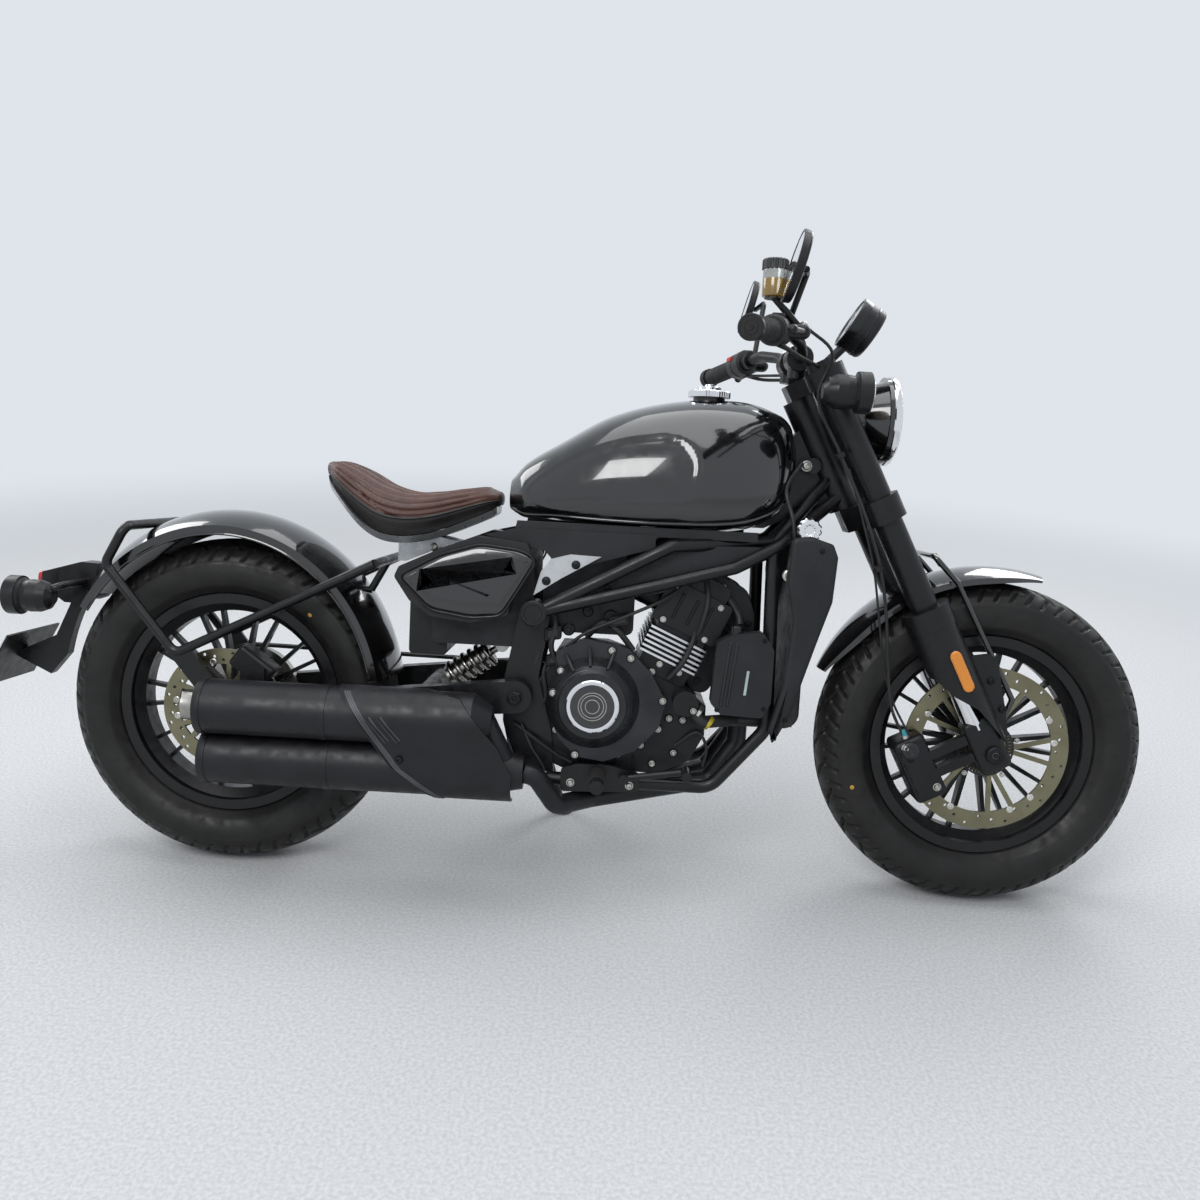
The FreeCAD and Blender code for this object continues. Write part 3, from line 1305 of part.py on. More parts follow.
def clutch_cover():
    """Right engine cover: a flanged plate with a round dome and a raised ring."""
    face = -ENGINE_HALF_WIDTH - SEAT_GAP
    outline = spread(CLUTCH_PLATE_SHARES, CLUTCH_PLATE_X, CLUTCH_PLATE_LOW, CLUTCH_PLATE_LONG,
                     CLUTCH_PLATE_TALL)
    plate = slab(outline, face, face - CLUTCH_PLATE_DEEP, CASE_CORNER)
    dome = spun([
        (0, 0),
        (CLUTCH_DOME, 0),
        (CLUTCH_DOME, CLUTCH_PLATE_DEEP),
        (CLUTCH_DOME - CASE_CORNER, CLUTCH_DEPTH - CASE_CORNER),
        (CLUTCH_RING + CASE_CORNER, CLUTCH_DEPTH),
        (CLUTCH_RING, CLUTCH_DEPTH),
        (CLUTCH_RING, CLUTCH_DEPTH + CLUTCH_RING_PROUD),
        (CLUTCH_RING - CLUTCH_RING_WIDE, CLUTCH_DEPTH + CLUTCH_RING_PROUD),
        (CLUTCH_RING - CLUTCH_RING_WIDE, CLUTCH_DEPTH),
        (0, CLUTCH_DEPTH),
    ], V(CLUTCH_X, face, CLUTCH_Z), V(0, -1, 0))
    return joined([plate, dome])


# Exhaust
def exhaust_pipes():
    """Two header pipes that join under the engine and rise to the silencers."""
    collector = V(COLLECTOR_X + SEAT_GAP, LOWER_CAN_PLANE, LOWER_CAN_Z)
    pipes = []
    for side in (-1, 1):
        port = tilt_point(PORT_UP, HEAD_HALF_DEEP - HEADER_RADIUS / 2, side * HEADER_PLANE)
        points = [
            port,
            V(HEADER_TURN_X, side * HEADER_PLANE, HEADER_TURN_Z),
            V(HEADER_TURN_X, side * HEADER_PLANE, HEADER_KNEE_Z),
            V(HEADER_TOE_X, side * HEADER_PLANE, HEADER_LOW_Z),
            V(HEADER_RUN_X, -HEADER_RUN_PLANE, HEADER_UNDER_Z),
            V(HEADER_RISE_X, -HEADER_RISE_PLANE, HEADER_UNDER_Z),
            V(HEADER_ELBOW_X, LOWER_CAN_PLANE, HEADER_ELBOW_Z),
            collector,
        ]
        pipes.append(bent_tube(points, HEADER_RADIUS, HEADER_BEND))
    head = tilted_block(BARREL_TALL, BARREL_TALL + HEAD_TALL, HEAD_HALF_DEEP + SEAT_GAP,
                        CYLINDER_HALF_WIDTH, 0.0)
    beyond = Part.makeBox(OVERRUN, REAR_RADIUS, REAR_RADIUS, V(COLLECTOR_X + SEAT_GAP - OVERRUN,
                                                              -REAR_RADIUS, 0))
    return joined(pipes).cut(beyond).cut(head)


def can_axes():
    """Centre lines of the two silencers."""
    lines = []
    for plane, height in ((UPPER_CAN_PLANE, UPPER_CAN_Z), (LOWER_CAN_PLANE, LOWER_CAN_Z)):
        lines.append((V(CAN_REAR, plane, height), V(CAN_REAR + CAN_LENGTH, plane, height)))
    return lines


def cone(start, end, start_radius, end_radius):
    axis = end - start
    return Part.makeCone(start_radius, end_radius, axis.Length, start, axis)


def silencer_bodies():
    """Both silencers with their necks down to the collector."""
    collector = V(COLLECTOR_X, LOWER_CAN_PLANE, LOWER_CAN_Z)
    (upper_rear, upper_front), (lower_rear, lower_front) = can_axes()
    neck = upper_front + V(CAN_TAPER, 0, 0)
    return [
        rod(upper_rear, upper_front, CAN_RADIUS),
        cone(upper_front, neck, CAN_RADIUS, NECK_RADIUS),
        rod(neck - V(CAN_TAPER / 2, 0, 0), collector - V(COLLECTOR_RADIUS, 0, 0), NECK_RADIUS * NECK_SHARE),
        rod(lower_rear, lower_front, CAN_RADIUS),
        cone(lower_front, collector, CAN_RADIUS, COLLECTOR_RADIUS),
    ]


def mufflers():
    """Two stacked silencers with one tail pipe."""
    rear = can_axes()[0][0]
    tip = rod(rear - V(TIP_REACH, 0, 0), rear, TIP_RADIUS)
    hollow = rod(rear - V(TIP_REACH + OVERRUN, 0, 0), rear - V(TIP_WALL, 0, 0), TIP_RADIUS - TIP_WALL)
    return joined(silencer_bodies() + [tip.cut(hollow)])


def muffler_cover():
    """Cover that wraps the outer side of both silencers."""
    upper, lower = [start for start, end in can_axes()]
    across = (lower - upper).normalize()
    outward = V(0, across.z, -across.y)
    up = V(0, 0, 1)
    inner = CAN_RADIUS + SEAT_GAP
    outer = inner + COVER_WALL
    over = (up + outward).normalize()
    under = (outward - up).normalize()
    edges = [
        Part.Arc(upper + up * outer, upper + over * outer, upper + outward * outer).toShape(),
        Part.LineSegment(upper + outward * outer, lower + outward * outer).toShape(),
        Part.Arc(lower + outward * outer, lower + under * outer, lower - up * outer).toShape(),
        Part.LineSegment(lower - up * outer, lower - up * inner).toShape(),
        Part.Arc(lower - up * inner, lower + under * inner, lower + outward * inner).toShape(),
        Part.LineSegment(lower + outward * inner, upper + outward * inner).toShape(),
        Part.Arc(upper + outward * inner, upper + over * inner, upper + up * inner).toShape(),
        Part.LineSegment(upper + up * inner, upper + up * outer).toShape(),
    ]
    wrap = Part.Face(Part.Wire(edges)).extrude(V(REAR_RADIUS + REAR_RADIUS, 0, 0))
    outline = spread(COVER_SHARES, COVER_REAR, COVER_LOW, COVER_LONG, COVER_TALL)
    return wrap.common(slab(outline, -REAR_RADIUS, 0))


# Radiator and its covers
def radiator(grow=0.0):
    """Radiator core between the down tubes and the fork, grown for what butts on it."""
    along = V(1, 0, -RADIATOR_SLOPE_SHARE)
    return block(V(RADIATOR_X, 0, RADIATOR_Z), along, RADIATOR_DEEP + 2 * grow,
                 2 * (RADIATOR_HALF_WIDTH + grow), RADIATOR_TALL + 2 * grow)


def radiator_shroud():
    """Side covers of the radiator."""
    outline = spread(SHROUD_SHARES, SHROUD_X, SHROUD_LOW, SHROUD_LONG, SHROUD_TALL)
    face = RADIATOR_HALF_WIDTH + SEAT_GAP
    plate = slab(outline, -face, -face - SHROUD_DEEP, SHROUD_CORNER)
    return Part.makeCompound([plate, mirrored(plate)])


def coolant_tank():
    """Boxy coolant reservoir outside the right down tube."""
    outline = spread(COOLANT_SHARES, COOLANT_X, COOLANT_LOW, COOLANT_LONG, COOLANT_TALL)
    face = -CRADLE_PLANE - CRADLE_RADIUS - SEAT_GAP
    return slab(outline, face, face - COOLANT_DEEP, SHROUD_CORNER)


# Tank, seat and covers
def fuel_tank():
    """Teardrop tank over the spine."""
    sections = []
    for along, low, high, wide in TANK_STATIONS_SHARES:
        sections.append(section_loop(
            TANK_REAR + TANK_LONG * along, TANK_HALF_WIDTH * wide, TANK_LOW + TANK_TALL * low,
            TANK_LOW + TANK_TALL * high, TANK_FOOT_SHARE, TANK_CROWN_SHARE))
    tank = Part.makeLoft(sections, True, False)
    tunnel = slab(spine_outline(SEAT_GAP), -SPINE_HALF_WIDTH - SEAT_GAP, SPINE_HALF_WIDTH + SEAT_GAP)
    below = [(x, z - SPINE_DEEP) for x, z in spine_outline(SEAT_GAP)]
    floor = TANK_LOW + TANK_TALL - CAP_SINK - SEAT_GAP
    recess = rod(V(CAP_X, 0, floor), V(CAP_X, 0, floor + OVERRUN), CAP_RADIUS * CAP_FOOT_SHARE + SEAT_GAP)
    tank = tank.cut(recess).cut(tunnel)
    tank = tank.cut(slab(below, -SPINE_HALF_WIDTH - SEAT_GAP, SPINE_HALF_WIDTH + SEAT_GAP))
    for side in (-1, 1):
        for tube in trellis_tubes(side, SEAT_GAP):
            tank = tank.cut(tube)
    return tank


def filler_cap():
    """Round filler cap seated in the tank's crown."""
    profile = [(CAP_RADIUS * out, CAP_TALL * up) for out, up in CAP_SHARES]
    return spun(profile, V(CAP_X, 0, TANK_LOW + TANK_TALL - CAP_SINK), V(0, 0, 1))


def seat_section(centre, half_width, low, high):
    """Saddle section with a flat underside and a rounded, crowned top."""
    height = high - low
    foot = half_width * SEAT_FOOT_SHARE
    right = [
        V(centre, foot, low),
        V(centre, half_width, low + height * EGG_WAIST_SHARE),
        V(centre, half_width * SEAT_SHOULDER_SHARE, high - height * EGG_CROWN_SHARE),
    ]
    left = [V(point.x, -point.y, point.z) for point in reversed(right)]
    crown = Part.BSplineCurve()
    crown.interpolate(right + [V(centre, 0, high)] + left)
    return Part.Wire([crown.toShape(), Part.LineSegment(left[-1], right[0]).toShape()])


def seat_pad():
    """Solo saddle, wide behind and narrow at the tank."""
    sections = []
    for along, low, high, wide in SEAT_STATIONS_SHARES:
        sections.append(seat_section(
            SEAT_REAR + SEAT_LONG * along, SEAT_HALF_WIDTH * wide, SEAT_LOW + SEAT_TALL * low,
            SEAT_LOW + SEAT_TALL * high))
    return Part.makeLoft(sections, True, False)


def pan_section(centre, half_width, top):
    """Flat section of the pan, narrower below."""
    wide = half_width * PAN_TOP_SHARE
    narrow = half_width * PAN_FOOT_SHARE
    foot = top - PAN_WALL
    points = [V(centre, -wide, top), V(centre, -narrow, foot), V(centre, narrow, foot), V(centre, wide, top)]
    return Part.makePolygon(points + points[:1])


def seat_pan():
    """Metal pan under the saddle, with the arm that bolts to the battery box."""
    sections = []
    for along, low, high, wide in SEAT_STATIONS_SHARES:
        sections.append(pan_section(SEAT_REAR + SEAT_LONG * along, SEAT_HALF_WIDTH * wide,
                                    SEAT_LOW + SEAT_TALL * low - PAN_GAP))
    pan = Part.makeLoft(sections, True, False)
    box_top = BOX_LOW + BOX_TALL + SEAT_GAP
    brace = SEAT_LOW + ARM_WALL / 2
    outline = [(ARM_X - ARM_WALL, brace), (ARM_X - ARM_WALL, ARM_Z), (ARM_X + ARM_WALL, ARM_Z),
               (BOX_X, box_top), (BOX_X + BOX_ARM, box_top), (BOX_X + BOX_ARM, box_top + ARM_WALL),
               (BOX_X, brace)]
    return joined([pan, slab(outline, -ARM_HALF_WIDTH, ARM_HALF_WIDTH)])


def battery_box():
    """Closed box between the side covers, on the pivot plates."""
    outline = spread(BOX_SHARES, BOX_X, BOX_LOW, BOX_LONG, BOX_TALL)
    body = slab(outline, -ENGINE_HALF_WIDTH, ENGINE_HALF_WIDTH, CASE_CORNER)
    face = ENGINE_HALF_WIDTH + PIVOT_PLATE_WALL + SEAT_GAP
    step = BOX_LOW + BOX_TALL * BOX_STEP_SHARE
    wide = slab(spread(BOX_SHARES, BOX_X, step, PIVOT_PLATE_X - BOX_X - OVERRUN,
                       BOX_TALL * (1 - BOX_STEP_SHARE)), -face, face, CASE_CORNER)
    tray = slab(spread(BOX_SHARES, BOX_X - TRAY_REACH, BOX_LOW - TRAY_DROP, TRAY_REACH + CASE_CORNER * 2,
                       TRAY_TALL), -TRAY_HALF_WIDTH, TRAY_HALF_WIDTH, CARCASS)
    return joined([body, wide, tray])


def side_covers():
    """Faceted covers on both sides under the seat."""
    outline = spread(SIDE_COVER_SHARES, SIDE_COVER_X, SIDE_COVER_LOW, SIDE_COVER_LONG, SIDE_COVER_TALL)
    face = ENGINE_HALF_WIDTH + PIVOT_PLATE_WALL + 2 * SEAT_GAP
    frame = slab(outline, -face, -face - SIDE_COVER_DEEP, SHROUD_CORNER)
    inset = spread(SIDE_PANEL_SHARES, SIDE_COVER_X, SIDE_COVER_LOW, SIDE_COVER_LONG, SIDE_COVER_TALL)
    raised = slab(inset, -face - SIDE_COVER_DEEP / 2, -face - SIDE_COVER_DEEP - SIDE_PANEL_PROUD, CARCASS)
    cover = joined([frame, raised])
    return Part.makeCompound([cover, mirrored(cover)])


def side_panels():
    """Panels between the tank and the trellis."""
    outline = spread(PANEL_SHARES, PANEL_X, PANEL_LOW, PANEL_LONG, PANEL_TALL)
    panel = slab(outline, -PANEL_INNER, -PANEL_INNER - PANEL_DEEP)
    for lift in (-SEAT_GAP, SEAT_GAP):
        cover = side_covers().Solids[0]
        cover.translate(V(lift, 0, SEAT_GAP))
        panel = panel.cut(cover)
    panel = max(panel.Solids, key=lambda solid: solid.Volume)
    infill = slab(spread(INFILL_SHARES, INFILL_X, INFILL_LOW, INFILL_LONG, INFILL_TALL),
                  -INFILL_INNER, -PANEL_INNER - PANEL_DEEP)
    for tube in trellis_tubes(-1, SEAT_GAP):
        infill = infill.cut(tube)
    infill = max(infill.Solids, key=lambda solid: solid.Volume)
    return Part.makeCompound([panel, mirrored(panel), infill, mirrored(infill)])


def bracket_plates():
    """Bright bracket plates between the side covers and the trellis."""
    outline = spread(BRACKET_PLATE_SHARES, BRACKET_PLATE_X, BRACKET_PLATE_LOW, BRACKET_PLATE_LONG,
                     BRACKET_PLATE_TALL)
    face = PANEL_INNER + PANEL_DEEP + SEAT_GAP
    plate = slab(outline, -face, -face - BRACKET_PLATE_WALL)
    return Part.makeCompound([plate, mirrored(plate)])


# Rear fender, its struts and the tail
def fender_section(centre, outward, half_width, drop, wall):
    """Closed section of a rolled fender: a crowned outer face and the same inside."""
    def face_points(inset):
        side = V(0, half_width - inset, 0)
        foot = centre - outward * drop
        crown = centre - outward * inset
        shoulder = centre - outward * (drop * SHOULDER_DROP_SHARE + inset)
        return foot, side, crown, shoulder

    foot, side, crown, shoulder = face_points(0.0)
    inner_foot, inner_side, inner_crown, inner_shoulder = face_points(wall)
    outer = Part.Arc(shoulder - side, crown, shoulder + side).toShape()
    inner = Part.Arc(inner_shoulder + inner_side, inner_crown, inner_shoulder - inner_side).toShape()
    edges = [
        outer,
        Part.LineSegment(shoulder + side, foot + side).toShape(),
        Part.LineSegment(foot + side, inner_foot + inner_side).toShape(),
        Part.LineSegment(inner_foot + inner_side, inner_shoulder + inner_side).toShape(),
        inner,
        Part.LineSegment(inner_shoulder - inner_side, inner_foot - inner_side).toShape(),
        Part.LineSegment(inner_foot - inner_side, foot - side).toShape(),
        Part.LineSegment(foot - side, shoulder - side).toShape(),
    ]
    return Part.Wire(edges)


def fender_point(degrees):
    """Point on the rear fender's crown line and the way out from the wheel there."""
    turn = math.radians(degrees)
    point = V(FENDER_X + FENDER_HALF_LONG * math.cos(turn), 0, REAR_RADIUS + FENDER_RISE * math.sin(turn))
    outward = V(math.cos(turn) / FENDER_HALF_LONG, 0, math.sin(turn) / FENDER_RISE).normalize()
    return point, outward


def rear_fender():
    """Rolled fender that follows the rear wheel."""
    sections = []
    for step in range(FENDER_STEPS + 1):
        share = step / FENDER_STEPS
        degrees = FENDER_FRONT_DEGREES + (FENDER_REAR_DEGREES - FENDER_FRONT_DEGREES) * share
        point, outward = fender_point(degrees)
        sections.append(fender_section(point, outward, FENDER_HALF_WIDTH, FENDER_DROP, FENDER_WALL))
    fender = Part.makeLoft(sections, True, False)
    low = BELT_PLANE - BELT_WIDTH
    notch = Part.makeBox(FENDER_HALF_LONG, FENDER_HALF_WIDTH, BELT_NOTCH_Z, V(0, low, 0))
    return fender.cut(notch)


def fender_struts():
    """Tube hoop over the rear fender, its legs to the swingarm and on to the front post."""
    sides = []
    halves = []
    arm_top = REAR_RADIUS + SWINGARM_DEEP_REAR / 2
    arms = slab(arm_outline(SEAT_GAP), -REAR_RADIUS, REAR_RADIUS)
    crown, outward = fender_point(STRUT_HOOP_DEGREES)
    crown = crown + outward * (STRUT_RADIUS + SEAT_GAP)
    for side in (-1, 1):
        plane = side * STRUT_PLANE
        halves.append([
            V(STRUT_FRONT_X, 0, STRUT_FRONT_Z),
            V(STRUT_FRONT_X, plane, STRUT_FRONT_Z),
            V(STRUT_KNEE_X, plane, STRUT_KNEE_Z),
            V(STRUT_REAR_X, plane, STRUT_REAR_Z),
            V(crown.x, plane, crown.z),
        ])
        outline = spread(STRUT_PLATE_SHARES, STRUT_PLATE_X, arm_top, STRUT_PLATE_LONG,
                         STRUT_KNEE_Z + STRUT_RADIUS - arm_top)
        half = STRUT_PLATE_WALL / 2
        sides.append(slab(outline, plane - half, plane + half))
    sides.append(bent_tube(halves[0][1:] + halves[1][:0:-1], STRUT_RADIUS, STRUT_BEND))
    sides.append(cross_bar(STRUT_FRONT_X, STRUT_FRONT_Z, STRUT_RADIUS, -STRUT_PLANE, STRUT_PLANE))
    post_top = V(STRUT_FRONT_X, 0, STRUT_FRONT_Z)
    near = fender_point(STRUT_POST_DEGREES)[0]
    sides.append(rod(near, post_top, STRUT_RADIUS - FENDER_WALL / 2))
    within = slab(fender_cut_outline(SEAT_GAP), -PLATE_HALF_WIDTH, PLATE_HALF_WIDTH)
    return joined(sides).cut(within).cut(arms)


def tail_bracket():
    """Tail housing, the arm that hangs from it and the blank number plate's backing."""
    housing = slab(spread(TAIL_SHARES, TAIL_X, TAIL_LOW, TAIL_LONG, TAIL_TALL),
                   -TAIL_HALF_WIDTH, TAIL_HALF_WIDTH)
    arm = slab(spread(PLATE_ARM_SHARES, TAIL_X, TAIL_LOW, TAIL_LONG, TAIL_TALL),
               -TAIL_HALF_WIDTH / 2, TAIL_HALF_WIDTH / 2)
    tilt = math.radians(PLATE_TILT_DEGREES)
    plate = block(V(PLATE_X, 0, PLATE_Z), V(math.cos(tilt), 0, -math.sin(tilt)), PLATE_WALL,
                  2 * PLATE_HALF_WIDTH, PLATE_TALL)
    bracket = joined([housing, arm, plate])
    return bracket.cut(slab(fender_cut_outline(SEAT_GAP), -FENDER_HALF_WIDTH, FENDER_HALF_WIDTH))


def fender_cut_outline(grow):
    """Outline of all that lies within the rear fender, for what seats on it."""
    outline = [(0.0, REAR_RADIUS)]
    for step in range(CUT_STEPS + 1):
        point, outward = fender_point(180 * step / CUT_STEPS)
        outline.append(((point + outward * grow).x, (point + outward * grow).z))
    return outline


def lamp_cup(centre, axis):
    """Round lamp cup whose open face looks along its axis."""
    return spun([(CUP_RADIUS * out, CUP_DEEP * ahead) for out, ahead in CUP_SHARES], centre, axis)


def rear_lamps():
    """Tail lamp and the two indicators on their stalks."""
    pieces = []
    for side in (-1, 1):
        back = V(REAR_CUP_X + CUP_DEEP, side * CUP_PLANE, REAR_CUP_Z)
        cup = lamp_cup(back, V(-1, 0, 0))
        stalk = bent_tube([
            V(STALK_X, side * (TAIL_HALF_WIDTH + SEAT_GAP), STALK_Z),
            V(STALK_X, side * CUP_PLANE, STALK_Z),
            V(REAR_CUP_X + CUP_DEEP / 2, side * CUP_PLANE, REAR_CUP_Z),
        ], STALK_RADIUS, 2 * STALK_RADIUS)
        pieces.append(joined([cup, stalk]))
    lamp_face = V(TAIL_X - SEAT_GAP, 0, TAIL_LOW + TAIL_TALL * LAMP_UP_SHARE)
    pieces.append(rod(lamp_face, lamp_face - V(LAMP_DEEP, 0, 0), LAMP_RADIUS))
    return Part.makeCompound(pieces)


# Foot controls
def foot_controls():
    """Foot pegs on their plates with the brake pedal and the gear lever."""
    face = CRADLE_PLANE + CRADLE_RADIUS + SEAT_GAP
    outer = face + PEG_PLATE_WALL
    outline = spread(PEG_PLATE_SHARES, PEG_PLATE_X, PEG_PLATE_LOW, PEG_PLATE_LONG, PEG_PLATE_TALL)
    pieces = []
    for side in (-1, 1):
        plate = slab(outline, side * face, side * outer, SHROUD_CORNER)
        peg = cross_bar(PEG_X, PEG_Z, PEG_RADIUS, side * face, side * (outer + PEG_LONG))
        arm_plane = side * (outer + 2 * PEDAL_RADIUS)
        pivot = V(PEG_X + PEDAL_PIVOT, arm_plane, PEG_Z)
        toe = V(PEG_X + PEDAL_REACH, arm_plane, PEDAL_Z)
        arm = rod(pivot, toe, PEDAL_RADIUS)
        pad = cross_bar(toe.x, toe.z, PEDAL_RADIUS + FENDER_WALL, arm_plane - side * PEDAL_RADIUS,
                        arm_plane + side * PEDAL_PAD)
        hub = cross_bar(pivot.x, pivot.z, PEDAL_HUB, side * face, arm_plane + side * PEDAL_RADIUS * 2)
        pieces.append(joined([plate, peg, arm, pad, hub]))
    return Part.makeCompound(pieces)


# Fork, yokes and what turns with them
def yoke(low, tall):
    """Clamp plate across both fork tubes, narrowed behind to the stem."""
    half = FORK_HALF_SPACING + FORK_TUBE
    front = YOKE_AHEAD + YOKE_DEEP / 2
    rear = YOKE_AHEAD - YOKE_DEEP / 2
    waist = 2 * STEM_RADIUS
    outline = [(front, -half), (front, half), (0, half), (rear, waist), (rear, -waist), (0, -half)]
    points = [on_fork(low, ahead, side) for ahead, side in outline]
    plate = Part.Face(Part.makePolygon(points + points[:1])).extrude(FORK_UP * tall)
    for side in (-1, 1):
        plate = plate.fuse(rod(on_fork(low, 0, side * FORK_HALF_SPACING),
                               on_fork(low + tall, 0, side * FORK_HALF_SPACING), FORK_TUBE + YOKE_WALL))
    return plate


def yokes():
    """Upper and lower yokes joined by the stem."""
    stem = rod(on_stem(LOWER_YOKE_LOW), on_stem(UPPER_YOKE_LOW + UPPER_YOKE_TALL), STEM_RADIUS)
    body = joined([yoke(UPPER_YOKE_LOW, UPPER_YOKE_TALL), yoke(LOWER_YOKE_LOW, LOWER_YOKE_TALL), stem])
    for side in (-1, 1):
        body = body.cut(rod(on_fork(0, 0, side * FORK_HALF_SPACING),
                            on_fork(FORK_TUBE_TOP + OVERRUN, 0, side * FORK_HALF_SPACING),
                            FORK_TUBE + RUN_GAP))
    return body


def fork_foot(side, grow=0.0):
    """Axle foot of one leg, grown for what seats on it."""
    foot = block(on_fork(FOOT_LOW + FOOT_TALL / 2, FOOT_AHEAD, side * FORK_HALF_SPACING), FORK_AHEAD,
                 FOOT_DEEP + 2 * grow, FOOT_WIDTH + 2 * grow, FOOT_TALL + 2 * grow)
    return foot.makeFillet(FOOT_ROUND, foot.Edges)


def fork_leg(side):
    """Upper tube, stanchion, axle foot, outer guard and fender bracket of one fork leg."""
    plane = side * FORK_HALF_SPACING
    tube = rod(on_fork(FORK_TUBE_LOW, 0, plane), on_fork(FORK_TUBE_TOP, 0, plane), FORK_TUBE)
    inner = FORK_TUBE + COLLAR_REACH
    outer = inner + GUARD_WALL
    collar_low = GUARD_HIGH - COLLAR_TALL / 2
    collar = rod(on_fork(collar_low, 0, plane), on_fork(collar_low + COLLAR_TALL, 0, plane),
                 outer + GUARD_WALL / 2)
    ring = [(on_fork(up, ahead).x, on_fork(up, ahead).z) for up, ahead in COLLAR_OUTLINE]
    collar = collar.common(slab(ring, plane - side * STANCHION, plane + side * 2 * outer))
    stanchion = rod(on_fork(0, 0, plane), on_fork(FORK_TUBE_LOW + COLLAR_TALL, 0, plane), STANCHION)
    shell = rod(on_fork(GUARD_LOW, 0, plane), on_fork(GUARD_HIGH, 0, plane), outer)
    hollow = rod(on_fork(GUARD_LOW - OVERRUN, 0, plane), on_fork(GUARD_HIGH + OVERRUN, 0, plane), inner)
    outline = [(on_fork(up, ahead).x, on_fork(up, ahead).z) for up, ahead in GUARD_OUTLINE]
    keep = slab(outline, plane - side * GUARD_INBOARD, plane + side * (outer + OVERRUN))
    guard = shell.cut(hollow).common(keep)
    outline = [(on_fork(up, ahead).x, on_fork(up, ahead).z) for up, ahead in BRACKET_OUTLINE]
    bracket = slab(outline, side * BRACKET_INNER, side * (BRACKET_INNER + BRACKET_WALL))
    leg = joined([tube, collar, stanchion, fork_foot(side), guard, bracket])
    axle = cross_bar(WHEELBASE, FRONT_AXLE_Z, AXLE_RADIUS + RUN_GAP, -REAR_RADIUS, REAR_RADIUS)
    return leg.cut(axle)


def front_axle():
    """Front axle with spacers to the hub and nuts outside the feet."""
    outer = FORK_HALF_SPACING + FOOT_WIDTH / 2
    inner = FORK_HALF_SPACING - FOOT_WIDTH / 2
    hub = -FRONT_DISC_PLANE - DISC_THICK / 2 + SEAT_GAP
    pieces = [cross_bar(WHEELBASE, FRONT_AXLE_Z, AXLE_RADIUS, -outer, outer)]
    for side in (-1, 1):
        pieces.append(cross_bar(WHEELBASE, FRONT_AXLE_Z, SPACER_RADIUS, side * hub, side * inner))
        pieces.append(cross_bar(WHEELBASE, FRONT_AXLE_Z, NUT_RADIUS, side * outer,
                                side * (outer + NUT_THICK)))
    end = outer + NUT_THICK + OVERRUN
    return joined(pieces).cut(cross_bar(WHEELBASE, FRONT_AXLE_Z, AXLE_BORE, -end, end))


def front_caliper():
    """Front caliper behind the right leg, on lugs of its foot."""
    centre = on_fork(FRONT_CALIPER_UP, FRONT_CALIPER_BACK) + V(0, FRONT_DISC_PLANE, 0)
    body = caliper(centre, FORK_UP, FRONT_CALIPER_LONG, FRONT_CALIPER_TALL, -CALIPER_OUTWARD,
                   FRONT_AXLE, FRONT_DISC_RADIUS)
    foot_back = FOOT_AHEAD - FOOT_DEEP / 2 - SEAT_GAP
    lugs = []
    lug_plane = FRONT_DISC_PLANE - CALIPER_OUTWARD + FRONT_LUG / 2
    for up in (FRONT_CALIPER_UP - FRONT_LUG, FRONT_CALIPER_UP + FRONT_LUG):
        reach = foot_back - FRONT_CALIPER_BACK
        middle = on_fork(up, FRONT_CALIPER_BACK + reach / 2, lug_plane)
        lugs.append(block(middle, FORK_AHEAD, reach, FRONT_LUG, FRONT_LUG))
    return joined([body] + lugs)


def front_fender():
    """Short fender between the fork legs with its stays to the feet."""
    sections = []
    for step in range(FENDER_STEPS + 1):
        share = step / FENDER_STEPS
        span = FRONT_FENDER_REAR_DEGREES - FRONT_FENDER_FRONT_DEGREES
        turn = math.radians(FRONT_FENDER_FRONT_DEGREES + span * share)
        outward = V(math.cos(turn), 0, math.sin(turn))
        tip = min(share, 1 - share) / FENDER_TIP_SHARE
        narrow = FENDER_TIP_WIDTH_SHARE + (1 - FENDER_TIP_WIDTH_SHARE) * math.sqrt(min(tip, 1))
        sections.append(fender_section(FRONT_AXLE + outward * FRONT_FENDER_RADIUS, outward,
                                       FRONT_FENDER_HALF_WIDTH * narrow, FRONT_FENDER_DROP * narrow,
                                       FENDER_WALL))
    fender = Part.makeLoft(sections, True, False)
    pieces = [fender]
    hoops = []
    foot_face = on_fork(FOOT_LOW + FOOT_TALL / 2, FOOT_AHEAD + FOOT_DEEP / 2 + SEAT_GAP)
    for side in (-1, 1):
        plane = side * STAY_PLANE
        hoops.append([
            V(foot_face.x, plane, foot_face.z),
            V(STAY_LOW_X, plane, STAY_LOW_Z),
            V(STAY_KNEE_X, plane, STAY_KNEE_Z),
            V(STAY_TOP_X, plane, STAY_TOP_Z),
        ])
        pieces.append(cross_bar(STAY_TIE_X, STAY_TIE_Z, STAY_RADIUS + FENDER_WALL,
                                side * (FRONT_FENDER_HALF_WIDTH - FENDER_WALL / 2), plane))
    pieces.append(bent_tube(hoops[0] + hoops[1][::-1], STAY_RADIUS, STAY_BEND))
    whole = joined(pieces)
    for side in (-1, 1):
        whole = whole.cut(fork_foot(side, SEAT_GAP))
    return whole


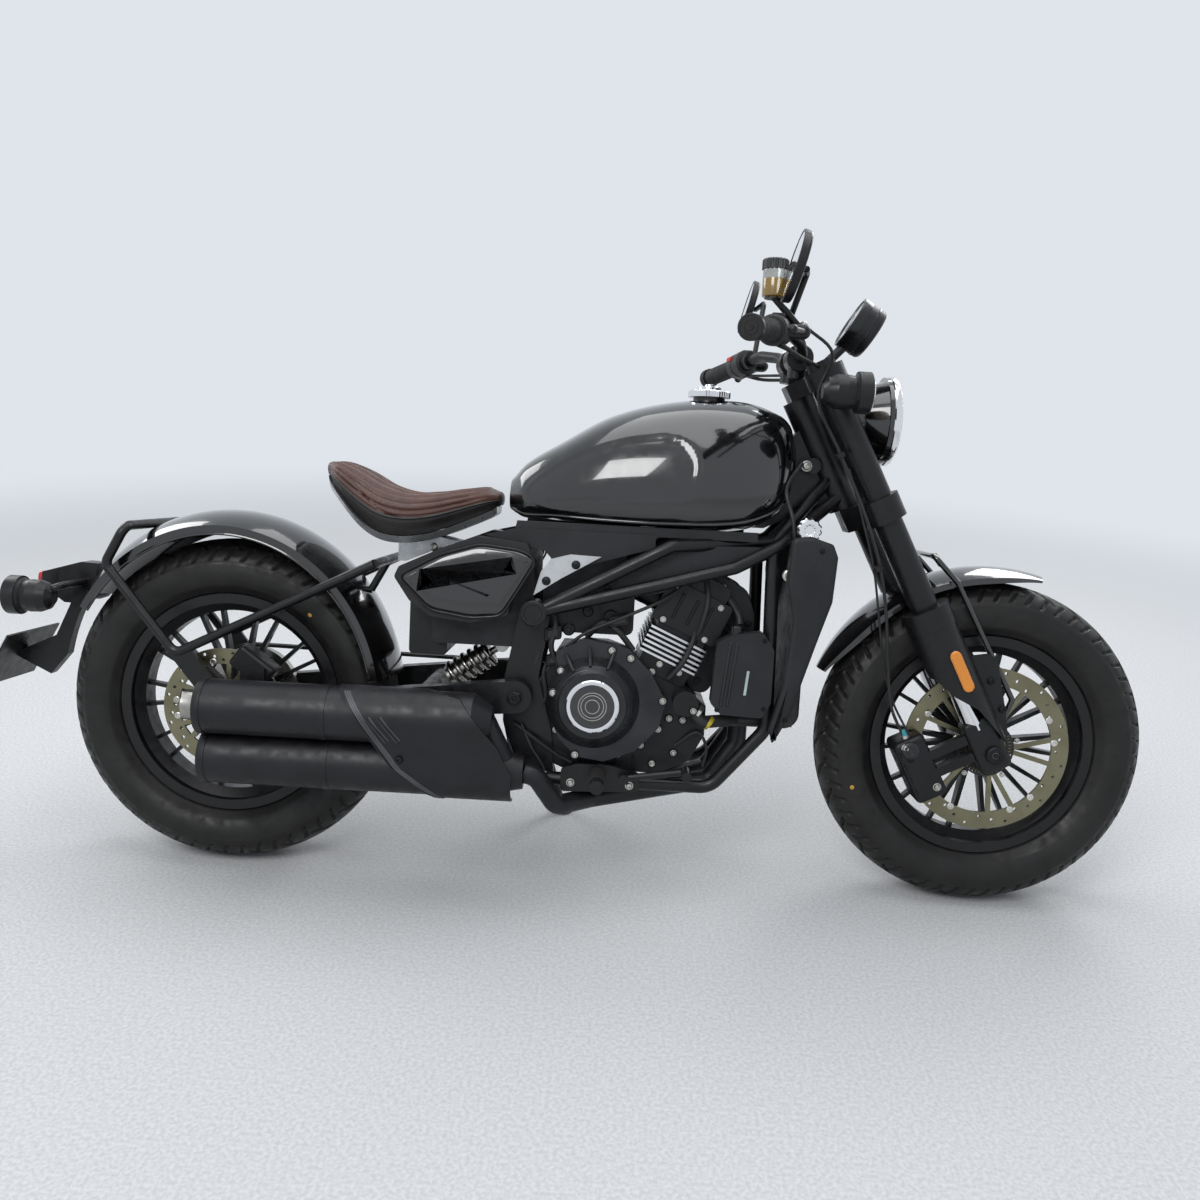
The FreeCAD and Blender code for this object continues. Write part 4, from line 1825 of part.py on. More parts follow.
# Handlebar and controls
def bar_points(side):
    """Centre line of one half of the handlebar."""
    return [
        V(BAR_CLAMP_X, 0, BAR_Z),
        V(BAR_CLAMP_X, side * 2 * RISER_PLANE, BAR_Z),
        V(BAR_KNEE_X, side * BAR_KNEE_PLANE, BAR_KNEE_Z),
        V(BAR_SHOULDER_X, side * BAR_SHOULDER_PLANE, BAR_SHOULDER_Z),
        V(BAR_END_X, side * BAR_END_PLANE, BAR_END_Z),
    ]


def handlebar():
    """Wide bar on two risers."""
    line = list(reversed(bar_points(-1)))[:-1] + bar_points(1)[1:]
    pieces = [bent_tube(line, BAR_RADIUS, BAR_BEND)]
    for side in (-1, 1):
        foot = on_stem(UPPER_YOKE_LOW + UPPER_YOKE_TALL + SEAT_GAP, 0, side * RISER_PLANE)
        top = V(BAR_CLAMP_X, side * RISER_PLANE, BAR_Z)
        pieces.append(rod(foot + (top - foot).normalize() * RISER_LIFT, top, RISER_RADIUS))
        clamp = RISER_RADIUS + RISER_LIP
        pieces.append(cross_bar(BAR_CLAMP_X, BAR_Z, RISER_RADIUS + BAR_RADIUS / 2,
                                side * (RISER_PLANE - clamp), side * (RISER_PLANE + clamp)))
    floor = block(on_fork(UPPER_YOKE_LOW + UPPER_YOKE_TALL / 2 + SEAT_GAP, YOKE_AHEAD), FORK_AHEAD,
                  YOKE_DEEP + OVERRUN, 4 * FORK_HALF_SPACING, UPPER_YOKE_TALL)
    return joined(pieces).cut(floor)


def grip_line(side):
    """End of the bar and the direction from it back along the bar."""
    points = bar_points(side)
    return points[-1], (points[-2] - points[-1]).normalize()


def grips():
    """Rubber grips with round end weights."""
    pieces = []
    for side in (-1, 1):
        end, inward = grip_line(side)
        sleeve = rod(end, end + inward * GRIP_LONG, GRIP_RADIUS)
        core = rod(end - inward * SEAT_GAP, end + inward * (GRIP_LONG + OVERRUN), BAR_RADIUS + SEAT_GAP)
        weight = rod(end - inward * SEAT_GAP, end - inward * (WEIGHT_THICK + SEAT_GAP), WEIGHT_RADIUS)
        skirt = rod(end - inward * WEIGHT_THICK, end, GRIP_RADIUS)
        pieces.append(joined([sleeve, skirt, weight]).cut(core))
    return Part.makeCompound(pieces)


def hand_controls():
    """Switch housings with brake and clutch levers, and the brake fluid reservoir."""
    pieces = []
    for side in (-1, 1):
        end, inward = grip_line(side)
        start = end + inward * (GRIP_LONG + SEAT_GAP)
        core = rod(start - inward * OVERRUN, start + inward * (SWITCH_LONG + 2 * OVERRUN),
                   BAR_RADIUS + SEAT_GAP)
        housing = rod(start, start + inward * SWITCH_LONG, SWITCH_RADIUS)
        ahead = V(1, 0, 0)
        perch = start + inward * SWITCH_LONG / 2
        pivot = perch + ahead * LEVER_AHEAD * LEVER_PIVOT_SHARE
        tip = end + ahead * LEVER_AHEAD
        body = rod(perch, pivot, MASTER_RADIUS)
        blade = rod(pivot, tip, LEVER_RADIUS)
        shapes = [housing, body, blade, ball(tip, LEVER_BALL), ball(pivot, MASTER_RADIUS)]
        if side < 0:
            foot = pivot
            base = pivot + V(-RESERVOIR_BACK, 0, RESERVOIR_RISE)
            shapes.append(rod(foot, base, RESERVOIR_STEM))
            shapes.append(rod(base, base + V(0, 0, RESERVOIR_TALL), RESERVOIR_RADIUS))
        pieces.append(joined(shapes).cut(core))
    return Part.makeCompound(pieces)


def mirrors():
    """Round mirrors on stems from the bar."""
    tilt = math.radians(MIRROR_TILT_DEGREES)
    facing = V(-math.cos(tilt), 0, math.sin(tilt))
    pieces = []
    for side in (-1, 1):
        end, inward = grip_line(side)
        height = MIRROR_Z + MIRROR_LEFT_RISE * (side + 1) / 2
        centre = V(MIRROR_X, side * MIRROR_PLANE, height)
        back = centre - facing * MIRROR_THICK
        disc = rod(back, centre, MIRROR_RADIUS)
        disc = disc.makeFillet(MIRROR_ROUND, disc.Edges)
        clamp_at = end + inward * (GRIP_LONG + SWITCH_LONG + 2 * SEAT_GAP)
        clamp = rod(clamp_at, clamp_at + inward * 2 * BAR_RADIUS, MIRROR_CLAMP)
        core = rod(clamp_at - inward * OVERRUN, clamp_at + inward * (2 * BAR_RADIUS + OVERRUN),
                   BAR_RADIUS + SEAT_GAP)
        clamp_mid = clamp_at + inward * BAR_RADIUS
        shoulder = V(MIRROR_STEM_X, side * (MIRROR_PLANE - MIRROR_RADIUS), height)
        stem = bent_tube([clamp_mid + V(BAR_RADIUS, 0, BAR_RADIUS), shoulder,
                          back + V(MIRROR_STEM / 2, 0, 0) - facing * MIRROR_STEM], MIRROR_STEM, BAR_RADIUS)
        neck = rod(back + V(MIRROR_STEM / 2, 0, 0) - facing * MIRROR_STEM, centre - facing * MIRROR_BED,
                   MIRROR_STEM)
        pieces.append(joined([disc, stem, neck, clamp.cut(core)]))
    return Part.makeCompound(pieces)


def headlight():
    """Round headlight bowl on an arm from the upper yoke."""
    bowl = spun([(HEADLIGHT_RADIUS * out, HEADLIGHT_DEEP * ahead) for out, ahead in HEADLIGHT_SHARES],
                V(HEADLIGHT_X - HEADLIGHT_DEEP, 0, HEADLIGHT_Z), V(1, 0, 0))
    face = on_fork(UPPER_YOKE_LOW + UPPER_YOKE_TALL / 2, YOKE_AHEAD + YOKE_DEEP / 2 + SEAT_GAP)
    arm = rod(face, V(HEADLIGHT_X - HEADLIGHT_DEEP / 2, 0, HEADLIGHT_Z), HEADLIGHT_ARM)
    behind = block(on_fork(UPPER_YOKE_LOW, YOKE_AHEAD + SEAT_GAP), FORK_AHEAD, YOKE_DEEP,
                   4 * FORK_HALF_SPACING, YOKE_DEEP)
    return joined([bowl, arm]).cut(behind)


def instrument():
    """Round instrument pod on an arm from the upper yoke."""
    tilt = math.radians(POD_TILT_DEGREES)
    facing = V(-math.cos(tilt), 0, math.sin(tilt))
    centre = V(POD_X, 0, POD_Z)
    pod = rod(centre - facing * POD_DEEP / 2, centre + facing * POD_DEEP / 2, POD_RADIUS)
    pod = pod.makeFillet(POD_ROUND, pod.Edges)
    foot = on_fork(UPPER_YOKE_LOW + UPPER_YOKE_TALL + SEAT_GAP, POD_ARM)
    arm = rod(foot, centre, POD_ARM)
    floor = block(on_fork(UPPER_YOKE_LOW + UPPER_YOKE_TALL / 2 + SEAT_GAP, YOKE_AHEAD), FORK_AHEAD,
                  YOKE_DEEP + OVERRUN, 4 * FORK_HALF_SPACING, UPPER_YOKE_TALL)
    return joined([pod, arm]).cut(floor)


def front_indicators():
    """Indicators beside the upper yoke."""
    pieces = []
    for side in (-1, 1):
        back = V(FRONT_CUP_X - CUP_DEEP, side * FRONT_CUP_PLANE, FRONT_CUP_Z)
        cup = lamp_cup(back, V(1, 0, 0))
        up = UPPER_YOKE_LOW - 2 * STALK_RADIUS - YOKE_WALL
        leg = on_fork(up, 0, side * FORK_HALF_SPACING)
        stalk = rod(leg, V(leg.x, side * FRONT_CUP_PLANE, leg.z), STALK_RADIUS)
        link = rod(V(leg.x, side * FRONT_CUP_PLANE, leg.z),
                   V(FRONT_CUP_X - CUP_DEEP / 2, side * FRONT_CUP_PLANE, FRONT_CUP_Z), STALK_RADIUS)
        knee = ball(V(leg.x, side * FRONT_CUP_PLANE, leg.z), STALK_RADIUS)
        plane = side * FORK_HALF_SPACING
        tube = rod(on_fork(0, 0, plane), on_fork(FORK_TUBE_TOP, 0, plane), FORK_TUBE + SEAT_GAP)
        shape = joined([cup, stalk, link, knee]).cut(tube)
        pieces.append(max(shape.Solids, key=lambda solid: solid.Volume))
    return Part.makeCompound(pieces)


def main():
    """Write every piece, leaned on to its stand."""
    os.makedirs("parts", exist_ok=True)
    pieces = {}
    pieces.update(front_wheel())
    pieces.update(rear_wheel())
    pieces["swingarm"] = swingarm()
    pieces["rear_axle"] = rear_axle()
    pieces["rear_shock"] = rear_shock()
    pieces["rear_caliper"] = rear_caliper()
    pieces["steering_head"] = steering_head()
    pieces["trellis_right"] = trellis(-1)
    pieces["trellis_left"] = trellis(1)
    pieces["cradle_right"] = cradle(-1)
    pieces["cradle_left"] = cradle_left()
    pieces["side_stand"] = side_stand()
    pieces["crankcase"] = crankcase()
    pieces["cylinder_block"] = cylinder_block()
    pieces["clutch_cover"] = clutch_cover()
    pieces["drive_belt"] = drive_belt()
    pieces["intake"] = intake()
    pieces["coolant_hose"] = coolant_hose()
    pieces["exhaust_pipes"] = exhaust_pipes()
    pieces["mufflers"] = mufflers()
    pieces["muffler_cover"] = muffler_cover()
    pieces["radiator"] = radiator()
    pieces["radiator_shroud"] = radiator_shroud()
    pieces["coolant_tank"] = coolant_tank()
    pieces["fuel_tank"] = fuel_tank()
    pieces["filler_cap"] = filler_cap()
    pieces["seat_pad"] = seat_pad()
    pieces["seat_pan"] = seat_pan()
    pieces["battery_box"] = battery_box()
    pieces["side_covers"] = side_covers()
    pieces["side_panels"] = side_panels()
    pieces["bracket_plates"] = bracket_plates()
    pieces["rear_fender"] = rear_fender()
    pieces["fender_struts"] = fender_struts()
    pieces["tail_bracket"] = tail_bracket()
    pieces["rear_lamps"] = rear_lamps()
    pieces["foot_controls"] = foot_controls()
    pieces["yokes"] = yokes()
    pieces["fork_leg_right"] = fork_leg(-1)
    pieces["fork_leg_left"] = fork_leg(1)
    pieces["front_axle"] = front_axle()
    pieces["front_caliper"] = front_caliper()
    pieces["front_fender"] = front_fender()
    pieces["handlebar"] = handlebar()
    pieces["grips"] = grips()
    pieces["hand_controls"] = hand_controls()
    pieces["mirrors"] = mirrors()
    pieces["headlight"] = headlight()
    pieces["instrument"] = instrument()
    pieces["front_indicators"] = front_indicators()
    lean = place_leaned()
    for name, shape in pieces.items():
        shape.Placement = lean.multiply(shape.Placement)
        shape.exportStep("parts/" + name + ".step")


if __name__ == "__main__":
    main()
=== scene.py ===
import cmath
import math

import bpy
import bmesh
from mathutils import Matrix, Vector, noise
from mathutils.bvhtree import BVHTree


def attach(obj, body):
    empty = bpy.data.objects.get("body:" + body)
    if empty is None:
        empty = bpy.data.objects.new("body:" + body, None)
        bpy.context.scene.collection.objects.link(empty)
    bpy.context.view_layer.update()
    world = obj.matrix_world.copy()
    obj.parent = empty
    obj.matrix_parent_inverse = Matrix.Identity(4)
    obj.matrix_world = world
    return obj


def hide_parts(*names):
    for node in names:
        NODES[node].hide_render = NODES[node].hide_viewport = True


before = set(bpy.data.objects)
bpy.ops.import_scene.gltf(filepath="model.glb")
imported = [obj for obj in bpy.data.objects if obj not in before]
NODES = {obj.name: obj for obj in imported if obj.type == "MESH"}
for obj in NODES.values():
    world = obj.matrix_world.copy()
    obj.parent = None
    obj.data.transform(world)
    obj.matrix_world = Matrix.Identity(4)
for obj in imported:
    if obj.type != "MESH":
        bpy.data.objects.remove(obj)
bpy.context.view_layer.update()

# Stance of the parked machine. Pieces are drawn upright in millimetres and leaned on to the stand.
MM = 0.001
LEAN = math.radians(10.0)
REAR_RADIUS = 323.0
REAR_CROWN = 88.0
FRONT_RADIUS = 320.0
FRONT_CROWN = 75.0
WHEELBASE = 1485.0
RAKE = math.radians(27.5)
AXLE_LEAD = 8.0
RISE = REAR_CROWN + (REAR_RADIUS - REAR_CROWN) * math.cos(LEAN)
FRONT_RISE = FRONT_CROWN + (FRONT_RADIUS - FRONT_CROWN) * math.cos(LEAN)
FRONT_AXLE_Z = REAR_RADIUS + (FRONT_RISE - RISE) / math.cos(LEAN)
SIDE_STEP = (REAR_RADIUS - REAR_CROWN) * math.sin(LEAN)
PARK = (Matrix.Translation((0, SIDE_STEP * MM, RISE * MM)) @ Matrix.Rotation(-LEAN, 4, "X")
        @ Matrix.Scale(MM, 4) @ Matrix.Translation((0, 0, -REAR_RADIUS)))
UNPARK = PARK.inverted()
REAR_AXLE = Vector((0, 0, REAR_RADIUS))
FRONT_AXLE = Vector((WHEELBASE, 0, FRONT_AXLE_Z))
FORK_UP = Vector((-math.sin(RAKE), 0, math.cos(RAKE)))
FORK_AHEAD = Vector((math.cos(RAKE), 0, math.sin(RAKE)))
FORK_FOOT = FRONT_AXLE - FORK_AHEAD * AXLE_LEAD
ACROSS = Vector((0, 1, 0))
AHEAD, BACK, RIGHT, UP = (1, 0, 0), (-1, 0, 0), (0, -1, 0), (0, 0, 1)


def on_fork(up, ahead=0.0, side=0.0):
    """Point along the fork, ahead of the legs' line and out to one side."""
    return FORK_FOOT + FORK_UP * up + FORK_AHEAD * ahead + ACROSS * side


def around(reach, turn, side=0.0):
    """Offset at a turn round an axle that lies across."""
    return Vector((reach * math.cos(turn), side, reach * math.sin(turn)))


def facing_back(angle):
    """Way a face looks that is tipped up from straight back by some degrees."""
    turn = math.radians(angle)
    return Vector((-math.cos(turn), 0, math.sin(turn)))


# Camera
CAMERA_PLACE = (0.7509, -1.9074, 1.1396)
PITCH, YAW, ROLL = (math.radians(angle) for angle in (16.39, -0.88, -2.86))


def make_camera():
    """View from the photograph's place."""
    data = bpy.data.cameras.new("view")
    camera = bpy.data.objects.new("view", data)
    bpy.context.scene.collection.objects.link(camera)
    camera.matrix_world = (Matrix.Translation(CAMERA_PLACE) @ Matrix.Rotation(-YAW, 4, "Z")
                           @ Matrix.Rotation(math.pi / 2 - PITCH, 4, "X") @ Matrix.Rotation(-ROLL, 4, "Z"))
    data.sensor_width = 36.0
    data.lens = 31.2
    data.clip_end = 100.0
    bpy.context.scene.camera = camera


make_camera()


# Materials
BROAD = 14.0


def shader(name):
    """New material with its principled shader."""
    made = bpy.data.materials.new(name)
    made.use_nodes = True
    return made, made.node_tree, made.node_tree.nodes["Principled BSDF"]


def wire(tree, node, sockets):
    """Link or set a node's inputs, by name or number."""
    for key, value in sockets.items():
        if isinstance(value, bpy.types.NodeSocket):
            tree.links.new(value, node.inputs[key])
        else:
            node.inputs[key].default_value = value
    return node


def add_node(tree, kind, sockets=()):
    """New shader node with its inputs linked or set."""
    return wire(tree, tree.nodes.new("ShaderNode" + kind), dict(sockets))


def grain(tree, scale, detail, kind="noise"):
    """Value of a noise or cell texture in the piece's own space."""
    source = add_node(tree, "TexCoord").outputs["Object"]
    if kind == "cells":
        return add_node(tree, "TexVoronoi", {"Scale": scale, "Vector": source}).outputs["Distance"]
    made = add_node(tree, "TexNoise", {"Scale": scale, "Detail": detail, "Vector": source})
    return made.outputs["Fac"]


def ramp(tree, value, low, high):
    """Two colours spread over the middle of a value's range."""
    made = add_node(tree, "ValToRGB", {"Fac": value})
    for stop, place, colour in zip(made.color_ramp.elements, (0.35, 0.65), (low, high)):
        stop.position = place
        stop.color = (*colour, 1)
    return made.outputs["Color"]


def finish_of(name, colour, vary=0.25, rough=0.4, rough_vary=0.1, metal=0.0, coat=0.0, coat_rough=0.05,
              bump=0.1, fine=900.0, depth=0.0002, kind="noise", specular=0.5):
    """Surface with colour drift, uneven gloss and fine relief."""
    made, tree, main = shader(name)
    dark = [c * (1 - vary) for c in colour]
    light = [min(1.0, c * (1 + vary)) for c in colour]
    smoothest, roughest = max(0.0, rough - rough_vary), min(1.0, rough + rough_vary)
    relief = add_node(tree, "Bump", {"Strength": bump, "Distance": depth,
                                     "Height": grain(tree, fine, 3.0, kind)})
    wire(tree, main, {
        "Base Color": ramp(tree, grain(tree, BROAD, 5.0), dark, light),
        "Roughness": ramp(tree, grain(tree, BROAD * 3.1, 6.0), [smoothest] * 3, [roughest] * 3),
        "Normal": relief.outputs["Normal"], "Metallic": metal, "Coat Weight": coat,
        "Coat Roughness": coat_rough, "Specular IOR Level": specular})
    return made


FINISHES = {
    "gloss_black": dict(colour=(0.0035, 0.0035, 0.004), rough=0.16, rough_vary=0.05, coat=1.0,
                        coat_rough=0.03, bump=0.04, fine=260.0, depth=0.0001),
    "satin_black": dict(colour=(0.006, 0.006, 0.007), rough=0.36, bump=0.25, fine=1400.0, specular=0.36),
    "matt_black": dict(colour=(0.008, 0.008, 0.01), rough=0.44, bump=0.3, fine=1800.0, specular=0.36),
    "grey_plastic": dict(colour=(0.012, 0.012, 0.014), rough=0.5, bump=0.45, fine=2200.0, kind="cells",
                         specular=0.34),
    "engine_black": dict(colour=(0.009, 0.009, 0.01), bump=0.6, fine=700.0, metal=0.2, specular=0.36),
    "cover_grey": dict(colour=(0.03, 0.031, 0.034), rough=0.36, bump=0.4, metal=0.6),
    "rubber": dict(colour=(0.012, 0.0115, 0.011), rough=0.5, rough_vary=0.16, bump=0.5, specular=0.32),
    "steel": dict(colour=(0.42, 0.41, 0.38), rough=0.28, metal=1.0, bump=0.2, fine=500.0),
    "disc_steel": dict(colour=(0.2, 0.185, 0.12), vary=0.15, rough=0.36, metal=1.0, bump=0.3, fine=1200.0),
    "chrome": dict(colour=(0.78, 0.78, 0.8), vary=0.03, rough=0.08, rough_vary=0.04, metal=1.0, bump=0.03),
    "silver_paint": dict(colour=(0.5, 0.51, 0.52), vary=0.06, rough=0.32, metal=0.6, bump=0.15),
    "leather": dict(colour=(0.06, 0.022, 0.014), rough=0.42, bump=0.8, fine=420.0, kind="cells",
                    depth=0.0006),
    "core_metal": dict(colour=(0.02, 0.02, 0.021), rough=0.6, bump=0.6, fine=500.0),
    "lens_red": dict(colour=(0.35, 0.004, 0.006), rough=0.12, coat=0.6),
    "mirror_glass": dict(colour=(0.75, 0.78, 0.8), vary=0.02, rough=0.04, rough_vary=0.02, metal=1.0,
                         bump=0.01),
    "belt_rubber": dict(colour=(0.012, 0.012, 0.012), rough=0.7, bump=0.4),
    "zinc": dict(colour=(0.55, 0.54, 0.5), rough=0.32, metal=1.0, bump=0.2),
    "leather_black": dict(colour=(0.012, 0.011, 0.011), rough=0.5, bump=0.7, fine=420.0, kind="cells",
                          depth=0.0005),
    "stitch": dict(colour=(0.16, 0.075, 0.05), rough=0.8, bump=0.4, fine=2500.0),
    "yellow_mark": dict(colour=(0.5, 0.3, 0.04), rough=0.6),
    "fin_bright": dict(colour=(0.66, 0.66, 0.67), vary=0.08, rough=0.3, metal=1.0, bump=0.3, fine=1500.0),
    "yellow_clip": dict(colour=(0.42, 0.34, 0.03), rough=0.45, metal=0.3),
    "hose": dict(colour=(0.012, 0.012, 0.012), rough=0.6, bump=0.5, fine=1600.0),
    "black_gloss_plastic": dict(colour=(0.008, 0.008, 0.009), rough=0.22),
    "black_plastic": dict(colour=(0.013, 0.013, 0.014), rough=0.48, bump=0.4, fine=2200.0, kind="cells"),
    "black_bolt": dict(colour=(0.02, 0.02, 0.022), rough=0.34, metal=0.8, bump=0.2),
    "grip_rubber": dict(colour=(0.014, 0.014, 0.014), rough=0.72, bump=0.6, fine=1500.0),
    "pale_strip": dict(colour=(0.42, 0.5, 0.5), rough=0.35),
    # Near-black painted shade for the hollows of the muffler cover's slots.
    "slot_shade_black": dict(colour=(0.002, 0.002, 0.002), rough=0.8),
    # Grey for the rims round the muffler cover's slots, and as painted highlight along the cover's rear edge.
    "grey_rim_and_highlight": dict(colour=(0.075, 0.075, 0.082), rough=0.42, metal=0.4, bump=0.3, fine=1600.0),
    "amber": dict(colour=(0.78, 0.26, 0.012), vary=0.08, rough=0.2, coat=0.7, bump=0.5, fine=420.0,
                  kind="cells", depth=0.0008),
    "lens_amber": dict(colour=(0.45, 0.33, 0.2), rough=0.12, coat=0.8, bump=0.5, fine=300.0, kind="cells",
                       depth=0.001),
    "teal_bit": dict(colour=(0.05, 0.3, 0.36)),
    "red_button": dict(colour=(0.55, 0.012, 0.016), rough=0.35, coat=0.3),
    "amber_fluid": dict(colour=(0.2, 0.12, 0.02), rough=0.14, coat=0.8, bump=0.05),
    "clear_plastic": dict(colour=(0.3, 0.31, 0.3), rough=0.16, coat=0.8, bump=0.05),
    "dial_glass": dict(colour=(0.006, 0.007, 0.012), rough=0.06, coat=1.0, bump=0.02),
    "screen_grey": dict(colour=(0.05, 0.07, 0.08), rough=0.15, coat=0.6),
    "glass": dict(colour=(0.62, 0.66, 0.68), vary=0.06, rough=0.08, coat=1.0, metal=0.5, bump=0.9,
                  fine=160.0, kind="cells", depth=0.002),
    "plate_white": dict(colour=(0.62, 0.63, 0.62), vary=0.05, coat=0.3),
}
LOOKS = {name: finish_of(name, **values) for name, values in FINISHES.items()}

NODE_LOOKS = {
    "gloss_black": ["fuel_tank", "rear_fender", "front_fender", "headlight"],
    "satin_black": ["swingarm", "steering_head", "trellis_right", "trellis_left", "cradle_right",
                    "cradle_left", "side_stand", "fender_struts", "handlebar", "foot_controls",
                    "front_rim", "rear_rim", "yokes", "fork_leg_right", "fork_leg_left",
                    "tail_bracket", "mirrors", "front_indicators", "rear_lamps", "hand_controls"],
    "matt_black": ["mufflers", "muffler_cover", "exhaust_pipes", "instrument"],
    "grey_plastic": ["side_panels", "side_covers", "radiator_shroud", "battery_box", "coolant_tank"],
    "engine_black": ["crankcase", "cylinder_block", "intake", "front_caliper", "rear_caliper"],
    "cover_grey": ["clutch_cover"],
    "rubber": ["front_tyre", "rear_tyre", "grips"],
    "disc_steel": ["front_disc", "rear_disc"],
    "steel": ["front_axle", "rear_axle", "rear_shock", "rear_pulley"],
    "chrome": ["filler_cap"],
    "silver_paint": ["seat_pan", "bracket_plates"],
    "leather": ["seat_pad"],
    "core_metal": ["radiator"],
    "belt_rubber": ["drive_belt"],
    "hose": ["coolant_hose"],
}
for look, names in NODE_LOOKS.items():
    for name in names:
        piece = NODES[name]
        if not piece.material_slots:
            piece.data.materials.append(LOOKS[look])
        for entry in piece.material_slots:
            entry.material = LOOKS[look]


# Shape helpers
def smooth_line(points, steps=6, loop=False):
    """Smooth line through the points, closed if asked."""
    points = [Vector(p) for p in points]
    if loop:
        ends = points[-1:] + points + points[:2]
    else:
        ends = [points[0] * 2 - points[1]] + points + [points[-1] * 2 - points[-2]]
    line = []
    for a, b, c, d in zip(ends, ends[1:], ends[2:], ends[3:]):
        for step in range(steps):
            t = step / steps
            line.append(0.5 * (2 * b + (c - a) * t + (2 * a - 5 * b + 4 * c - d) * t * t
                               + (3 * b - a - 3 * c + d) * t ** 3))
    return line if loop else line + [points[-1]]


class Batch:
    """Shapes joined into one piece, each with its own finish."""

    def __init__(self, name, body, slot):
        self.name, self.body, self.slot = name, body, slot
        self.verts, self.faces, self.marks, self.looks = [], [], [], []

    def add(self, verts, faces, look):
        """Take in one shape of one finish."""
        base = len(self.verts)
        if look not in self.looks:
            self.looks.append(look)
        mark = self.looks.index(look)
        self.verts += verts
        self.faces += [tuple(base + v for v in face) for face in faces]
        self.marks += [mark] * len(faces)

    def done(self, *replaced, angle=32.0):
        """Make the piece, ride it on its body and let it replace frame pieces."""
        mesh = bpy.data.meshes.new(self.name)
        mesh.from_pydata([PARK @ Vector(v) for v in self.verts], [], self.faces)
        for look in self.looks:
            mesh.materials.append(LOOKS[look])
        mesh.polygons.foreach_set("material_index", self.marks)
        mesh.polygons.foreach_set("use_smooth", [True] * len(self.faces))
        work = bmesh.new()
        work.from_mesh(mesh)
        bmesh.ops.recalc_face_normals(work, faces=work.faces)
        work.to_mesh(mesh)
        work.free()
        mesh.set_sharp_from_angle(angle=math.radians(angle))
        made = bpy.data.objects.new(self.name, mesh)
        bpy.context.scene.collection.objects.link(made)
        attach(made, self.body)
        if replaced:
            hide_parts(*replaced)
        return made


def loft(batch, rings, look, loop=False):
    """Skin over closed rings of equal count, capped or joined end to end."""
    count = len(rings[0])
    verts = [point for ring in rings for point in ring]
    faces = []
    for index in range(len(rings) if loop else len(rings) - 1):
        a = index * count
        b = (index + 1) % len(rings) * count
        for j in range(count):
            k = (j + 1) % count
            faces.append((a + j, a + k, b + k, b + j))
    if not loop:
        faces.append(tuple(reversed(range(count))))
        faces.append(tuple(range(len(verts) - count, len(verts))))
    batch.add(verts, faces, look)


def across_of(axis):
    """Unit axis and two directions square to it."""
    axis = Vector(axis).normalized()
    side = axis.orthogonal().normalized()
    return axis, side, axis.cross(side)


def lathe(batch, centre, axis, profile, look, sides=32, loop=False, teeth=0, bite=0.0):
    """Turned shape from points of distance along the axis and radius."""
    axis, side, other = across_of(axis)
    centre = Vector(centre)
    rings = []
    for along, radius in profile:
        ring = []
        for index in range(sides):
            turn = math.tau * index / sides
            cut = bite if teeth and index * teeth * 2 // sides % 2 else 0.0
            out = max(radius - cut, 0.02)
            ring.append(centre + axis * along + (side * math.cos(turn) + other * math.sin(turn)) * out)
        rings.append(ring)
    loft(batch, rings, look, loop=loop)


def sweep(batch, points, radius, look, sides=10, steps=6, smooth=True):
    """Round hose or bar along a line."""
    line = smooth_line(points, steps) if smooth else [Vector(p) for p in points]
    side = (line[1] - line[0]).orthogonal().normalized()
    rings = []
    for index, point in enumerate(line):
        ahead = (line[min(index + 1, len(line) - 1)] - line[max(index - 1, 0)]).normalized()
        side = (side - ahead * side.dot(ahead)).normalized()
        other = ahead.cross(side)
        rings.append([point + (side * math.cos(math.tau * k / sides)
                               + other * math.sin(math.tau * k / sides)) * radius for k in range(sides)])
    loft(batch, rings, look)


def hoses(batch, rows):
    """Hoses from rows of radius, sides and points."""
    for radius, sides, *points in rows:
        sweep(batch, points, radius, "hose", sides)


def band(batch, centre, axis, halves, radii, look, sides=24):
    """Chamfered ring round an axis, from half lengths and radii at its foot and its crown."""
    (foot, crown), (low, high) = halves, radii
    lathe(batch, centre, axis, [(-foot, low), (-crown, high), (crown, high), (foot, low)], look, sides)


def rectangle(long, wide):
    """Corners of a rectangle about the middle."""
    return [(-long / 2, -wide / 2), (long / 2, -wide / 2), (long / 2, wide / 2), (-long / 2, wide / 2)]


def shrink(outline, inset):
    """Outline moved inwards along its corners' bisectors."""
    area = sum(a[0] * b[1] - b[0] * a[1] for a, b in zip(outline, outline[1:] + outline[:1]))
    sign = 1.0 if area > 0 else -1.0
    made = []
    for index, (x, z) in enumerate(outline):
        before, after = outline[index - 1], outline[(index + 1) % len(outline)]
        first = Vector((x - before[0], z - before[1])).normalized()
        second = Vector((after[0] - x, after[1] - z)).normalized()
        normal = Vector((-(first + second).y, (first + second).x)) * sign
        if normal.length < 0.01:
            normal = Vector((-first.y, first.x)) * sign
        normal.normalize()
        made.append((x + normal.x * inset, z + normal.y * inset))
    return made


def soften(outline, radius, steps=4):
    """Outline with rounded corners."""
    made = []
    for index, corner in enumerate(outline):
        corner = Vector(corner)
        before = Vector(outline[index - 1]) - corner
        after = Vector(outline[(index + 1) % len(outline)]) - corner
        start = corner + before.normalized() * min(radius, before.length * 0.45)
        end = corner + after.normalized() * min(radius, after.length * 0.45)
        for step in range(steps + 1):
            t = step / steps
            point = start * (1 - t) ** 2 + corner * 2 * t * (1 - t) + end * t * t
            made.append((point.x, point.y))
    return made


